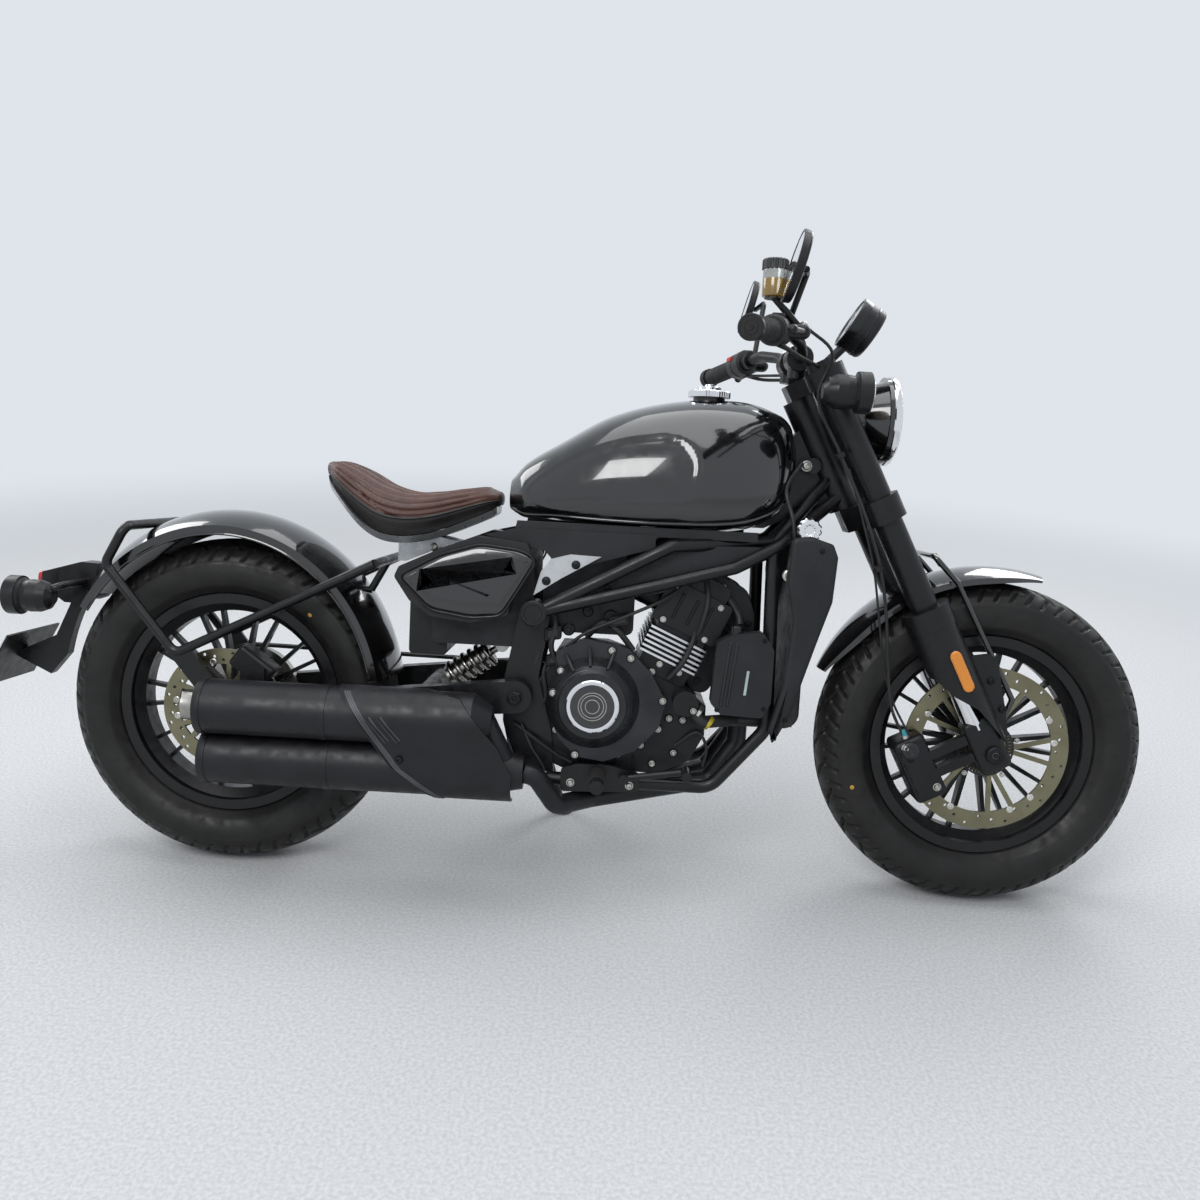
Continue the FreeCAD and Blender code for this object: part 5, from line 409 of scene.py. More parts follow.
def capsule(start, end, radius, steps=8):
    """Stadium outline between two points."""
    start, end = Vector(start), Vector(end)
    turn = math.atan2(end.y - start.y, end.x - start.x)
    made = []
    for centre, base in ((end, turn - math.pi / 2), (start, turn + math.pi / 2)):
        for step in range(steps + 1):
            angle = base + math.pi * step / steps
            made.append((centre.x + radius * math.cos(angle), centre.y + radius * math.sin(angle)))
    return made


def plate(batch, outline, low, high, look, bevel=1.2, place=None):
    """Chamfered plate from an outline of x and z, between two side planes."""
    place = place or (lambda a, b, depth: Vector((a, depth, b)))
    step = math.copysign(min(bevel, abs(high - low) * 0.45), high - low)
    rings = []
    for depth, inset in ((low, bevel), (low + step, 0.0), (high - step, 0.0), (high, bevel)):
        rings.append([place(a, b, depth) for a, b in shrink(outline, inset)])
    loft(batch, rings, look)


def dome(batch, outline, rows, side, look):
    """Rounded face on one side, from rows of inset and distance out."""
    loft(batch, [[Vector((x, side * depth, z)) for x, z in shrink(outline, inset)]
                 for inset, depth in rows], look)


def block(batch, centre, along, across, long, wide, tall, look, bevel=1.0):
    """Chamfered block about a centre."""
    along = Vector(along).normalized()
    across = Vector(across).normalized()
    up = along.cross(across).normalized()
    centre = Vector(centre)
    plate(batch, soften(rectangle(long, wide), bevel * 2, 2), -tall / 2, tall / 2, look, bevel,
          lambda a, b, depth: centre + along * a + across * b + up * depth)


def bolt(batch, at, axis, size, look="zinc", kind="dome"):
    """Screw head on a washer, sunk one millimetre into what carries it."""
    if kind == "hex":
        washer = [(-1, 1.25 * size), (0.18 * size, 1.25 * size), (0.2 * size, 1.1 * size)]
        head = [(0, 1.05), (0.7, 1.05), (0.85, 0.88), (0.86, 0.4), (0.7, 0.3)]
        lathe(batch, at, axis, washer, look, 20)
        lathe(batch, at, axis, [(along * size, radius * size) for along, radius in head], look, 6)
        return
    head = [(0.16, 1.3), (0.2, 1.05), (0.5, 1), (0.8, 0.78), (0.86, 0.5), (0.4, 0.44), (0.4, 0)]
    lathe(batch, at, axis, [(-1, size * 1.3)] + [(along * size, radius * size) for along, radius in head],
          look, 18)


SKINS = {}
RAY_START = 700.0


def skin(node):
    """Upright surface of a frame piece, for rays."""
    if node not in SKINS:
        mesh = NODES[node].data
        SKINS[node] = BVHTree.FromPolygons([UNPARK @ v.co for v in mesh.vertices],
                                           [tuple(p.vertices) for p in mesh.polygons])
    return SKINS[node]


def on_side(nodes, x, z, side=-1):
    """Outermost point of some nodes at x and z, seen from one side, or None."""
    best = None
    for node in nodes:
        hit = skin(node).ray_cast(Vector((x, side * RAY_START, z)), Vector((0, -side, 0)))[0]
        if hit is not None and (best is None or hit.y * side > best.y * side):
            best = hit
    return best


def side_caps(batch, nodes, places, profile, look, sides, side=-1):
    """Turned shapes where some nodes face one side."""
    for x, z in places:
        lathe(batch, on_side(nodes, x, z, side), (0, side, 0), profile, look, sides)


def side_bolts(batch, nodes, places, size, look="zinc", side=-1, kind="dome", boss=None):
    """Screws where some nodes face one side."""
    for x, z in places:
        at = on_side(nodes, x, z, side)
        if boss:
            lathe(batch, at, (0, side, 0), [(-8, size * 2.1), (2.5, size * 1.9), (3.5, size * 1.7)], boss, 20)
            at = at + Vector((0, side * 3.5, 0))
        bolt(batch, at, (0, side, 0), size, look, kind)


def table_at(rows, along):
    """Smooth values between rows whose first column runs from 0 to 1."""
    count = len(rows)
    index = 0
    while index < count - 2 and along > rows[index + 1][0]:
        index += 1
    low, high = rows[index], rows[index + 1]
    before, after = rows[max(index - 1, 0)], rows[min(index + 2, count - 1)]
    span = high[0] - low[0]
    t = min(max((along - low[0]) / span, 0.0), 1.0)
    made = []
    for column in range(1, len(low)):
        slope_low = (high[column] - before[column]) / max(high[0] - before[0], 1e-6) * span
        slope_high = (after[column] - low[column]) / max(after[0] - low[0], 1e-6) * span
        made.append((2 * t ** 3 - 3 * t ** 2 + 1) * low[column] + (t ** 3 - 2 * t ** 2 + t) * slope_low
                    + (3 * t ** 2 - 2 * t ** 3) * high[column] + (t ** 3 - t ** 2) * slope_high)
    return made


def section_at(rows, along, low_at, tall, half, scale=1.0):
    """Low, high and half width of a form's cross section, scaled about its middle."""
    low, high, wide = table_at(rows, along)
    low, high = low_at + tall * low, low_at + tall * high
    middle = (low + high) / 2
    return middle + (low - middle) * scale, middle + (high - middle) * scale, wide * (half * scale)


def stations(steps, turns, rear, front):
    """Share along a closed form, scale and shift of its sections, with rounded ends."""
    plan = [(0.0, math.cos(a), -rear * math.sin(a)) for a in reversed(turns)]
    plan += [(k / steps, 1.0, 0.0) for k in range(steps + 1)]
    return plan + [(1.0, math.cos(a), front * math.sin(a)) for a in turns]


def ease(value, low, high):
    """Smooth step from 0 to 1."""
    t = min(max((value - low) / (high - low), 0.0), 1.0)
    return t * t * (3 - 2 * t)


def bump_at(value, middle, width):
    """Bell of height 1 about a middle."""
    return math.exp(-((value - middle) / width) ** 2)


# Tyres
RIM_FOOT = 203.5
RIM_EDGE = 217.6
SHOULDER = math.radians(48.0)
BULGE = 0.55
TREAD_DEEP = 5.0
WALL_STEPS, CROWN_STEPS, PITCH_STEPS = 26, 22, 24
WALL_BEADS = ((1.6, 0.09, 0.035), (0.7, 0.3, 0.02), (0.6, 0.36, 0.02), (0.9, 0.8, 0.03), (-0.7, 0.87, 0.02))
TYRE_MARK = [(-1.5, 4.2), (0.5, 4.2), (0.9, 3.4), (0.9, 0)]


def arc_through(first, middle, last, steps):
    """Points of the arc that turns left through three flat points."""
    a, b, c = complex(*first), complex(*middle), complex(*last)
    ratio = (c - a) / (b - a)
    centre = a + (b - a) * (ratio - abs(ratio) ** 2) / (2j * ratio.imag)
    turn = cmath.phase((c - centre) / (a - centre)) % math.tau
    arc = [centre + (a - centre) * cmath.rect(1, turn * k / steps) for k in range(steps + 1)]
    return [(at.real, at.imag) for at in arc]


def tyre_outline(radius, crown, width, rim_width):
    """Half outline from bead to crown: side, reach, share up the wall, share across the crown."""
    core = radius - crown
    shoulder = (crown * math.sin(SHOULDER), core + crown * math.cos(SHOULDER))
    bulge = (width / 2, RIM_FOOT + (shoulder[1] - RIM_FOOT) * BULGE)
    side = rim_width / 2 - 0.3
    wall = arc_through((side, RIM_EDGE), bulge, shoulder, WALL_STEPS)
    rows = [(side, RIM_FOOT, -1.0, 9.0)]
    for index, (out, reach) in enumerate(wall):
        share = index / WALL_STEPS
        rows.append((out, reach, share, 1.0 + (1 - share) * 1.6))
    for index in range(1, CROWN_STEPS + 1):
        turn = SHOULDER * (1 - index / CROWN_STEPS)
        rows.append((crown * math.sin(turn), core + crown * math.cos(turn), 2.0, turn / SHOULDER))
    return rows


def groove_at(turn, across, pitches):
    """Depth share of the tread's cuts at a turn and a signed share across."""
    size = abs(across)
    phase = turn * pitches / math.tau + (0.5 if across > 0 else 0.0)
    cut = 0.0
    if 0.16 < size < 0.8:
        near = abs((phase + 1.1 * size) % 1.0 - 0.5)
        cut = max(cut, (1 - ease(near, 0.045, 0.08)) * ease(size, 0.16, 0.22) * (1 - ease(size, 0.74, 0.8)))
    if 0.62 < size < 1.19:
        near = abs((phase * 2 + 0.35 - 0.9 * size) % 1.0 - 0.5)
        cut = max(cut, (1 - ease(near, 0.08, 0.14)) * ease(size, 0.62, 0.7) * (1 - ease(size, 1.1, 1.19)))
    near = abs(across - 0.07 * math.sin(phase * math.tau * 2))
    return max(cut, 1 - ease(near, 0.03, 0.055))


def make_tyre(end, centre, radius, crown, width, rim_width, pitches):
    """Tyre with a beaded wall and a cut tread, still open to more shapes."""
    half = tyre_outline(radius, crown, width, rim_width)
    rows = half + [(-out, reach, share, -across) for out, reach, share, across in reversed(half[:-1])]
    steps = pitches * PITCH_STEPS
    relief = []
    for index, (out, reach, share, across) in enumerate(rows):
        before, after = rows[max(index - 1, 0)], rows[min(index + 1, len(rows) - 1)]
        flow = Vector((after[0] - before[0], after[1] - before[1])).normalized()
        normal = Vector((flow.y, -flow.x))
        if normal.x * out + normal.y * (reach - (radius - crown)) < 0:
            normal = -normal
        lift = 0.0
        if 0 <= share <= 1:
            lift = sum(high * bump_at(share, middle, wide) for high, middle, wide in WALL_BEADS)
        relief.append((normal, lift))
    rings = []
    for step in range(steps):
        turn = math.tau * step / steps
        ring = []
        for (out, reach, share, across), (normal, lift) in zip(rows, relief):
            depth = lift
            if abs(across) < 1.2:
                depth -= TREAD_DEEP * groove_at(turn, across, pitches)
            ring.append(centre + around(reach + normal.y * depth, turn, out + normal.x * depth))
        rings.append(ring)
    batch = Batch(end + "_tyre_tread", end + "_wheel", "tyre_rubber")
    loft(batch, rings, "rubber", loop=True)
    return batch


for end, centre, radius, crown, width, rim_width, pitches, mark_at in (
        ("front", FRONT_AXLE, FRONT_RADIUS, FRONT_CROWN, 130.0, 76.0, 30, (1234, 227)),
        ("rear", REAR_AXLE, REAR_RADIUS, REAR_CROWN, 150.0, 89.0, 28, (162, 510))):
    tyre = make_tyre(end, centre, radius, crown, width, rim_width, pitches)
    side_caps(tyre, [end + "_tyre"], [mark_at], TYRE_MARK, "yellow_mark", 20)
    tyre.done(end + "_tyre", angle=45)


# Seat
SEAT_REAR, SEAT_LONG, SEAT_LOW, SEAT_TALL, SEAT_WIDE = 184.0, 328.0, 668.0, 140.0, 132.0
SEAT_ROWS = [(0, .82, 1, .35), (.08, .62, 1, .72), (.2, .34, .9, .95), (.35, .1, .72, 1),
             (.5, .06, .63, .97), (.65, .12, .65, .84), (.8, .26, .71, .66), (.93, .4, .75, .5),
             (1, .5, .7, .34)]
SEAT_FOOT, SEAT_WAIST, SEAT_TOP, SEAT_SHOULDER = 0.86, 0.42, 0.14, 0.8
CHANNEL = 0.135
PANEL_EDGE = 0.66
SEAT_STEPS, SEAT_HALF = 150, 60


def seat_ring(along, scale, shift):
    """One cross section of the saddle, with how far round it each point is."""
    low, high, wide = section_at(SEAT_ROWS, along, SEAT_LOW, SEAT_TALL, SEAT_WIDE, scale)
    tall = high - low
    knots = [(-wide * SEAT_FOOT, low), (-wide, low + tall * SEAT_WAIST),
             (-wide * SEAT_SHOULDER, high - tall * SEAT_TOP), (0, high)]
    knots += [(-y, z) for y, z in reversed(knots[:-1])]
    line = smooth_line([(0, y, z) for y, z in knots], 20)
    ring, shares = [], []
    for index, point in enumerate(line):
        share = index / SEAT_HALF - 1
        before, after = line[max(index - 1, 0)], line[min(index + 1, len(line) - 1)]
        flow = (after - before).normalized()
        normal = Vector((0, -flow.z, flow.y))
        if normal.z + normal.y * share < 0:
            normal = -normal
        size = abs(share)
        lift = 0.0
        fade = ease(along, 0.02, 0.1) * (1 - ease(along, 0.8, 0.97)) * scale
        if size < PANEL_EDGE - 0.04:
            place = size / CHANNEL
            near = abs(place - round(place)) * CHANNEL * wide * 1.1
            lift += (-3.0 * math.exp(-(near / 1.9) ** 2) + 1.2 * (1 - math.exp(-(near / 5.0) ** 2))) * fade
        seam = 0.40 + 0.24 * ease(along, 0.06, 0.46)
        lift += -2.4 * bump_at(size, seam, 0.014) * ease(along, 0.05, 0.1) * (1 - ease(along, 0.44, 0.5))
        lift += (2.2 * bump_at(size, PANEL_EDGE + 0.02, 0.016) - 1.6 * bump_at(size, PANEL_EDGE - 0.02, 0.012)
                 - 1.0 * bump_at(size, PANEL_EDGE + 0.055, 0.012)) * scale
        crease = noise.noise(Vector((along * 9.0, share * 4.0, 2.0))) * 0.7
        ring.append(Vector((SEAT_REAR + SEAT_LONG * along + shift, point.y, point.z))
                    + normal * (lift + crease * (1 - bump_at(size, 1.0, 0.1))))
        shares.append(size)
    return ring, shares


def make_seat():
    """Saddle cushion with its channels, welt and stitches."""
    batch = Batch("saddle_cushion", "chassis", "seat_leather")
    rings = []
    for along, scale, shift in stations(SEAT_STEPS, (0.3, 0.6, 0.9, 1.2, 1.45), 7.0, 9.0):
        ring, shares = seat_ring(along, scale, shift)
        rings.append(ring)
    loft(batch, rings, "leather_black")
    count = len(rings[0])
    batch.looks.append("leather")
    for index in range(len(rings) - 1):
        for j in range(count):
            if shares[j] < PANEL_EDGE and shares[(j + 1) % count] < PANEL_EDGE:
                batch.marks[index * count + j] = 1
    for seam in (0.0, CHANNEL, 2 * CHANNEL, 3 * CHANNEL, 4 * CHANNEL, PANEL_EDGE - 0.05, PANEL_EDGE + 0.085):
        for side in ((-1, 1) if seam else (1,)):
            column = round((side * seam + 1) * SEAT_HALF)
            for offset in ((-1, 1) if seam < PANEL_EDGE - 0.1 else (0,)):
                far = min(max(column + 2 * offset, 1), count - 2)
                for index in range(12, len(rings) - 14, 2):
                    a, b = rings[index][far], rings[index + 1][far]
                    inward = rings[index][far + 1] - rings[index][far - 1]
                    up = (b - a).cross(inward).normalized()
                    if up.z < 0 and seam < 0.8:
                        up = -up
                    sweep(batch, [a + up * 0.2, (a + b) / 2 + up * 0.55, b + up * 0.2], 0.42,
                          "stitch", sides=5, steps=1)
    made = batch.done("seat_pad", angle=60)


make_seat()


# Tank
TANK_REAR, TANK_LONG, TANK_LOW, TANK_TALL, TANK_WIDE = 538.0, 543.0, 706.0, 260.0, 150.0
TANK_ROWS = [(0, .1, .34, .28), (.05, .05, .46, .5), (.16, .04, .61, .72), (.35, .01, .84, .92),
             (.58, 0, .97, 1), (.8, .03, .99, .93), (.92, .13, .93, .76), (.98, .27, .84, .52),
             (1, .4, .72, .25)]
TANK_STEPS = 180
KNEE_OUTLINE = [(570, 762), (592, 800), (672, 852), (779, 886), (852, 885), (885, 851), (889, 815),
                (868, 770), (750, 757), (641, 737)]


def edge_distance(x, z, loop):
    """Distance to a closed flat line, positive inside it."""
    best = 1e9
    inside = False
    for (ax, az), (bx, bz) in zip(loop, loop[1:] + loop[:1]):
        dx, dz = bx - ax, bz - az
        t = min(max(((x - ax) * dx + (z - az) * dz) / (dx * dx + dz * dz + 1e-9), 0.0), 1.0)
        best = min(best, math.hypot(x - ax - dx * t, z - az - dz * t))
        if (az > z) != (bz > z) and x < ax + dx * (z - az) / dz:
            inside = not inside
    return best if inside else -best


def make_tank():
    """Tank shell with a pressed knee panel and a rolled seam on each side."""
    batch = Batch("tank_shell", "chassis", "gloss_black")
    knee = [(p.x, p.z) for p in smooth_line([(x, 0, z) for x, z in KNEE_OUTLINE], 5, loop=True)]
    rings = []
    for along, scale, shift in stations(TANK_STEPS, (0.3, 0.6, 0.9, 1.2, 1.5), 5.0, 5.0):
        low, high, wide = section_at(TANK_ROWS, along, TANK_LOW, TANK_TALL, TANK_WIDE, scale)
        tall = high - low
        knots = [(0, low), (-wide * 0.8, low + tall * 0.06), (-wide, low + tall * 0.42),
                 (-wide * 0.66, high - tall * 0.14), (0, high), (wide * 0.66, high - tall * 0.14),
                 (wide, low + tall * 0.42), (wide * 0.8, low + tall * 0.06)]
        x = TANK_REAR + TANK_LONG * along + shift
        ring = []
        for point in smooth_line([(x, y, z) for y, z in knots], 16, loop=True):
            if abs(point.y) > 20 and 700 < point.z < 900 and scale == 1.0:
                inside = edge_distance(point.x, point.z, knee)
                push = 3.0 * ease(inside, 0.0, 9.0) - 0.9 * bump_at(inside, -2.5, 3.0)
                point = point - Vector((0, math.copysign(push, point.y), 0)) * ease(abs(point.y), 20, 60)
            ring.append(point)
        rings.append(ring)
    loft(batch, rings, "gloss_black")
    for side in (-1, 1):
        seam = []
        for k in range(4, 176, 6):
            along = k / TANK_STEPS
            low, high, wide = section_at(TANK_ROWS, along, TANK_LOW, TANK_TALL, TANK_WIDE)
            seam.append((TANK_REAR + TANK_LONG * along, side * (wide * 0.83 + 1.0),
                         low + (high - low) * 0.075))
        sweep(batch, seam, 3.4, "gloss_black", sides=10, steps=2)
    batch.done("fuel_tank", angle=50)


make_tank()

# Filler cap
CAP_FOOT = (912, 0, 959)
cap = Batch("filler_cap_trim", "chassis", "chrome")
lathe(cap, CAP_FOOT, UP, [(0, 31), (10, 31)], "black_gloss_plastic", 64)
lathe(cap, CAP_FOOT, UP, [(8.5, 37), (9.5, 41), (20, 41.2), (21.5, 39)], "chrome", 192, teeth=48, bite=1.2)
lathe(cap, CAP_FOOT, UP, [(20, 38.6), (22.4, 37.4), (23.4, 30), (23.8, 23.5), (28.4, 22.8), (30, 20.6),
                          (30.6, 10), (34, 9.4), (35.2, 7), (35.4, 0)], "chrome", 64)
cap.done("filler_cap")


# Engine
ENGINE_X, ENGINE_Z = 842, 430
ENGINE_TILT = math.radians(23.6)
FIN_PITCH, FIN_HALF = 9.6, 2.1
CLUTCH_X, CLUTCH_FACE, CLUTCH_Z = 719, -174.3, 382
HANGER = [(868, 600), (930, 640), (1004, 604), (1022, 556), (1022, 500), (996, 492), (968, 446), (934, 396),
          (900, 404), (884, 470)]


def tilted(up, ahead=0, side=0):
    """Point up the cylinders' line, ahead of it and out to one side."""
    return Vector((ENGINE_X + up * math.sin(ENGINE_TILT) + ahead * math.cos(ENGINE_TILT), side,
                   ENGINE_Z + up * math.cos(ENGINE_TILT) - ahead * math.sin(ENGINE_TILT)))


UP_TILT = (tilted(1) - tilted(0)).normalized()
AHEAD_TILT = (tilted(0, 1) - tilted(0)).normalized()
engine = Batch("engine_trim", "chassis", "black_cast")
fin = soften(rectangle(118, 208), 3, 2)
for index in range(6):
    level = 34 + FIN_PITCH * index + 1.6
    low, high = level - FIN_HALF, level + FIN_HALF
    loft(engine, [[tilted(high, a, s), tilted(low, a, s), tilted(low, c, t), tilted(high, c, t)]
                  for (a, s), (c, t) in zip(shrink(fin, -0.7), shrink(fin, 2.4))], "fin_bright", loop=True)
for side in (-1, 1):
    for ahead in (-44, 44):
        for up in (104, 172):
            bolt(engine, tilted(up, ahead, side * 104), (0, side, 0), 4.5, kind="hex")
    for ahead in (-30, 0, 30):
        block(engine, tilted(140, ahead, side * 105), UP_TILT, AHEAD_TILT, 52, 5, 6, "engine_black", 1.2)
    for ahead in (-36, 36):
        bolt(engine, tilted(212, ahead, side * 60), UP_TILT, 5)
    side_bolts(engine, ["cylinder_block"], [(842, 455), (880, 440)], 4.6, side=side, kind="hex")
for step, profile, look, sides in (
        (0, [(-5, 49.5), (0.5, 49.5), (2.4, 47.5), (3, 44), (2.2, 41.2), (-1.5, 40.5)], "chrome", 72),
        (0, [(-5, 41), (-0.6, 41), (0, 39), (0.4, 30), (0.5, 0)], "gloss_black", 64),
        (12, [(-2, 69), (1.6, 68), (2.4, 66), (1.6, 64), (-2, 63)], "cover_grey", 64)):
    lathe(engine, (CLUTCH_X, CLUTCH_FACE + step, CLUTCH_Z), RIGHT, profile, look, sides)
for radius in (26, 21, 13):
    low, high = radius - 0.7, radius + 0.7
    lathe(engine, (CLUTCH_X, CLUTCH_FACE - 0.3, CLUTCH_Z), RIGHT,
          [(-0.4, high), (0.7, high), (0.7, low), (-0.4, low)], "zinc", 56, loop=True)
side_bolts(engine, ["clutch_cover", "crankcase", "cylinder_block"],
           [(750, 483), (786, 470), (828, 440), (850, 392), (846, 330), (814, 297), (770, 275), (738, 266),
            (690, 280), (650, 318), (644, 400), (656, 440)], 4.6, boss="cover_grey")
side_bolts(engine, ["crankcase"], [(866, 352), (892, 350), (908, 378), (620, 300), (838, 262), (878, 285)],
           4.4, boss="engine_black")
ALTERNATOR = Vector((800, 0, 350))
for k in range(8):
    at = ALTERNATOR + around(76, math.tau * k / 8 + 0.3)
    side_bolts(engine, ["crankcase"], [(at.x, at.z)], 4.4, side=1, boss="engine_black")
side_caps(engine, ["crankcase"], [(ALTERNATOR.x, ALTERNATOR.z)],
          [(-3, 58), (3, 56), (5, 52), (5.4, 30), (3.6, 27), (3.6, 0)], "cover_grey", 48, side=1)
for turn in (70, 96, 122):
    start, end = (Vector((CLUTCH_X, 0, CLUTCH_Z)) + around(reach, math.radians(turn), side)
                  for reach, side in ((72, -158), (104, -136)))
    sweep(engine, [start, (start + end) / 2 + Vector((0, -1.5, 0)), end], 3.6, "cover_grey", 8, 3)
for x, z, size in ((744, 540, 14), (700, 548, 10), (665, 512, 12)):
    side_caps(engine, ["intake", "crankcase", "battery_box"], [(x, z)],
              [(-10, size), (5, size), (7, size * 0.8), (7, size * 0.45), (11, size * 0.4), (11.5, 0)],
              "engine_black", 24)
for x, z, look in ((940, 352, "yellow_clip"), (918, 372, "zinc")):
    at = on_side(["coolant_hose"], x, z)
    band(engine, (x, at.y + 12, z), (0.8, 0, -0.6), (4, 3.4), (13.2, 14), look, 28)
hoses(engine, (
    (3.4, 8, (652, -112, 470), (700, -118, 512), (770, -116, 545), (840, -114, 580), (880, -108, 610)),
    (5, 10, (905, -96, 500), (918, -106, 540), (926, -104, 590), (915, -90, 640)),
    (4, 8, (640, -96, 470), (622, -104, 430), (628, -108, 380), (606, -100, 345)),
    (5.5, 10, (628, -96, 560), (640, -108, 520), (634, -112, 480), (650, -108, 440)),
    (4, 10, (612, -80, 540), (616, -100, 500), (606, -106, 450), (596, -100, 400)),
    (4.5, 10, (760, -90, 610), (800, -104, 590), (850, -112, 604), (884, -110, 640)),
    (6, 10, (700, -92, 500), (730, -104, 530), (760, -104, 515), (790, -100, 480)),
    (7, 10, (940, -60, 560), (960, -80, 590), (985, -90, 560), (990, -96, 540)),
    (5, 10, (860, -108, 430), (884, -116, 462), (900, -112, 500), (905, -100, 520)),
    (3, 10, (880, -100, 300), (920, -110, 330), (940, -110, 300), (935, -104, 262))))
for x, z, long, wide in ((636, 505, 34, 26), (640, 455, 30, 22), (760, 536, 40, 22)):
    block(engine, (x, -104, z), (1, 0, 0.2), UP, long, wide, 16, "engine_black", 2)
    block(engine, (x, -112, z), (1, 0, 0.2), UP, long - 12, wide - 10, 5, "black_gloss_plastic")
for x in range(700, 837, 34):
    block(engine, (x, -101, 262), UP, AHEAD, 26, 4, 5, "engine_black", 0.8)
for k in range(4):
    lathe(engine, tilted(150 + 18 * k, -66, -70), -AHEAD_TILT, [(-1, 8), (7, 8), (8, 6.5), (8, 0)],
          "engine_black", 20)
for side in (-1, 1):
    plate(engine, soften(HANGER, 14, 4), side * 58, side * 66, "engine_black", 1.6)
    for x, z in ((1008, 540), (1006, 514), (930, 606), (918, 422), (956, 470)):
        bolt(engine, (x, side * 66, z), (0, side, 0), 6, "black_bolt", "hex")
    sweep(engine, [(900, side * 67, 590), (940, side * 68, 560), (976, side * 67, 520)], 5, "engine_black")
engine.done()


# Radiator and coolant tank
SHROUD_OUTLINE = [(1069, 711), (1105, 715), (1144, 703), (1154, 680), (1150, 597), (1127, 522), (1087, 380),
                  (1057, 321), (1049, 353), (1069, 431), (1080, 557), (1065, 628)]
RADIATOR_CAP = (1100, -118, 727)
guards = Batch("radiator_trim", "chassis", "black_plastic")
face = on_side(["coolant_tank"], 992, 450).y
for x in (962, 974):
    plate(guards, capsule((x + 6, 512), (x - 6, 396), 2.6), face + 1, face - 2.6, "black_gloss_plastic", 1)
plate(guards, soften([(1001, 462), (1006, 462), (1002, 416), (997, 416)], 1.5), face + 1, face - 1.2,
      "pale_strip", 0.5)
lathe(guards, (978, face + 14, 532), UP, [(-4, 11), (9, 11), (11, 9), (11, 0)], "black_gloss_plastic", 30,
      teeth=15, bite=0.8)
side_bolts(guards, ["coolant_tank"], [(950, 386), (1036, 392), (1030, 520)], 3.6, "black_bolt")
for side in (-1, 1):
    dome(guards, soften(SHROUD_OUTLINE, 12, 5),
         ((1, 148), (1, 151.6), (2.6, 153.4), (6, 154.6), (10, 155)), side, "grey_plastic")
    for x, z in ((1124, 690), (1078, 372)):
        bolt(guards, (x, side * 155, z), (0, side, 0), 4, "black_bolt")
lathe(guards, RADIATOR_CAP, RIGHT, [(0, 12), (14, 12), (14, 21), (17, 23), (24, 23), (28, 20), (29, 12),
                                    (27, 9), (27, 0)], "chrome", 48, teeth=12, bite=1.6)
sweep(guards, [RADIATOR_CAP, (1092, -104, 703), (1096, -96, 668)], 11, "engine_black", 16, 4)
hoses(guards, [(4.5, 10, (1088, -116, 640), (1096, -126, 610), (1092, -126, 570), (1082, -118, 540))])
band(guards, (1086, -124, 606), (0.1, 0, 1), (9, 8), (7, 8), "zinc")
lathe(guards, (1072, -122, 640), RIGHT, [(-6, 12), (6, 12), (8, 9), (8, 6), (5, 5), (5, 0)], "zinc", 28)
guards.done()


# Frame and side covers
COVER_OUTLINE = [(351, 603), (409, 547), (484, 536), (539, 542), (565, 585), (599, 646), (571, 660),
                 (497, 667), (424, 644)]
TANK_SKIRT = [(556, 698)] + [(560 + 30 * k, 716) for k in range(16)] + [(1010, 698)]
frame_trim = Batch("frame_trim", "chassis", "satin_black")
for side in (-1, 1):
    outline = soften(COVER_OUTLINE, 14, 5)
    dome(frame_trim, outline, ((0, 150), (0, 156.8), (2, 158.6), (7, 160.4), (15, 162),
                               (26, 163.2), (38, 163.8)), side, "gloss_black")
    rim_line = [(x, side * 157, z) for x, z in shrink(outline, -3)]
    sweep(frame_trim, rim_line + rim_line[:1], 2.2, "satin_black", 8, smooth=False)
    side_caps(frame_trim, ["trellis_right", "trellis_left", "battery_box"], [(600, 546)],
              [(-2, 24), (1.5, 24), (3, 22), (3, 17), (1.6, 16), (1.6, 0)], "satin_black", 40, side)
    side_bolts(frame_trim, ["bracket_plates"], [(674, 639), (620, 606)], 6.5, "black_bolt", side)
    side_bolts(frame_trim, ["swingarm"], [(572, 385)], 13, "black_bolt", side, "hex")
    side_bolts(frame_trim, ["seat_pan"], [(392, 652)], 7.5, side=side)
    plate(frame_trim, TANK_SKIRT, side * 112, side * 118, "grey_plastic", 0.6)
side_bolts(frame_trim, ["side_panels"], [(735, 600)], 5.5, "black_bolt")
side_bolts(frame_trim, ["foot_controls"], [(684, 226), (796, 226)], 6)
side_bolts(frame_trim, ["steering_head"], [(1103, 846)], 8)
for k in range(9):
    band(frame_trim, (735, -196 + 8 * k, 244), ACROSS, (1.6, 1.2), (13.4, 15.2), "rubber")
hoses(frame_trim, (
    (2.4, 8, (560, -124, 300), (575, -140, 270), (590, -138, 240), (610, -130, 222)),
    (2, 8, (585, -120, 330), (606, -134, 290), (632, -132, 250), (636, -128, 214)),
    (4, 8, (1090, -70, 850), (1060, -96, 800), (1074, -112, 740), (1086, -110, 660))))
sweep(frame_trim, [(570, -118, 330), (640, -126, 285), (684, -126, 262)], 4.2, "satin_black")
band(frame_trim, (634, -130, 236), (0, 0.2, 1), (8, 7), (3.4, 4.6), "zinc", 18)
frame_trim.done()


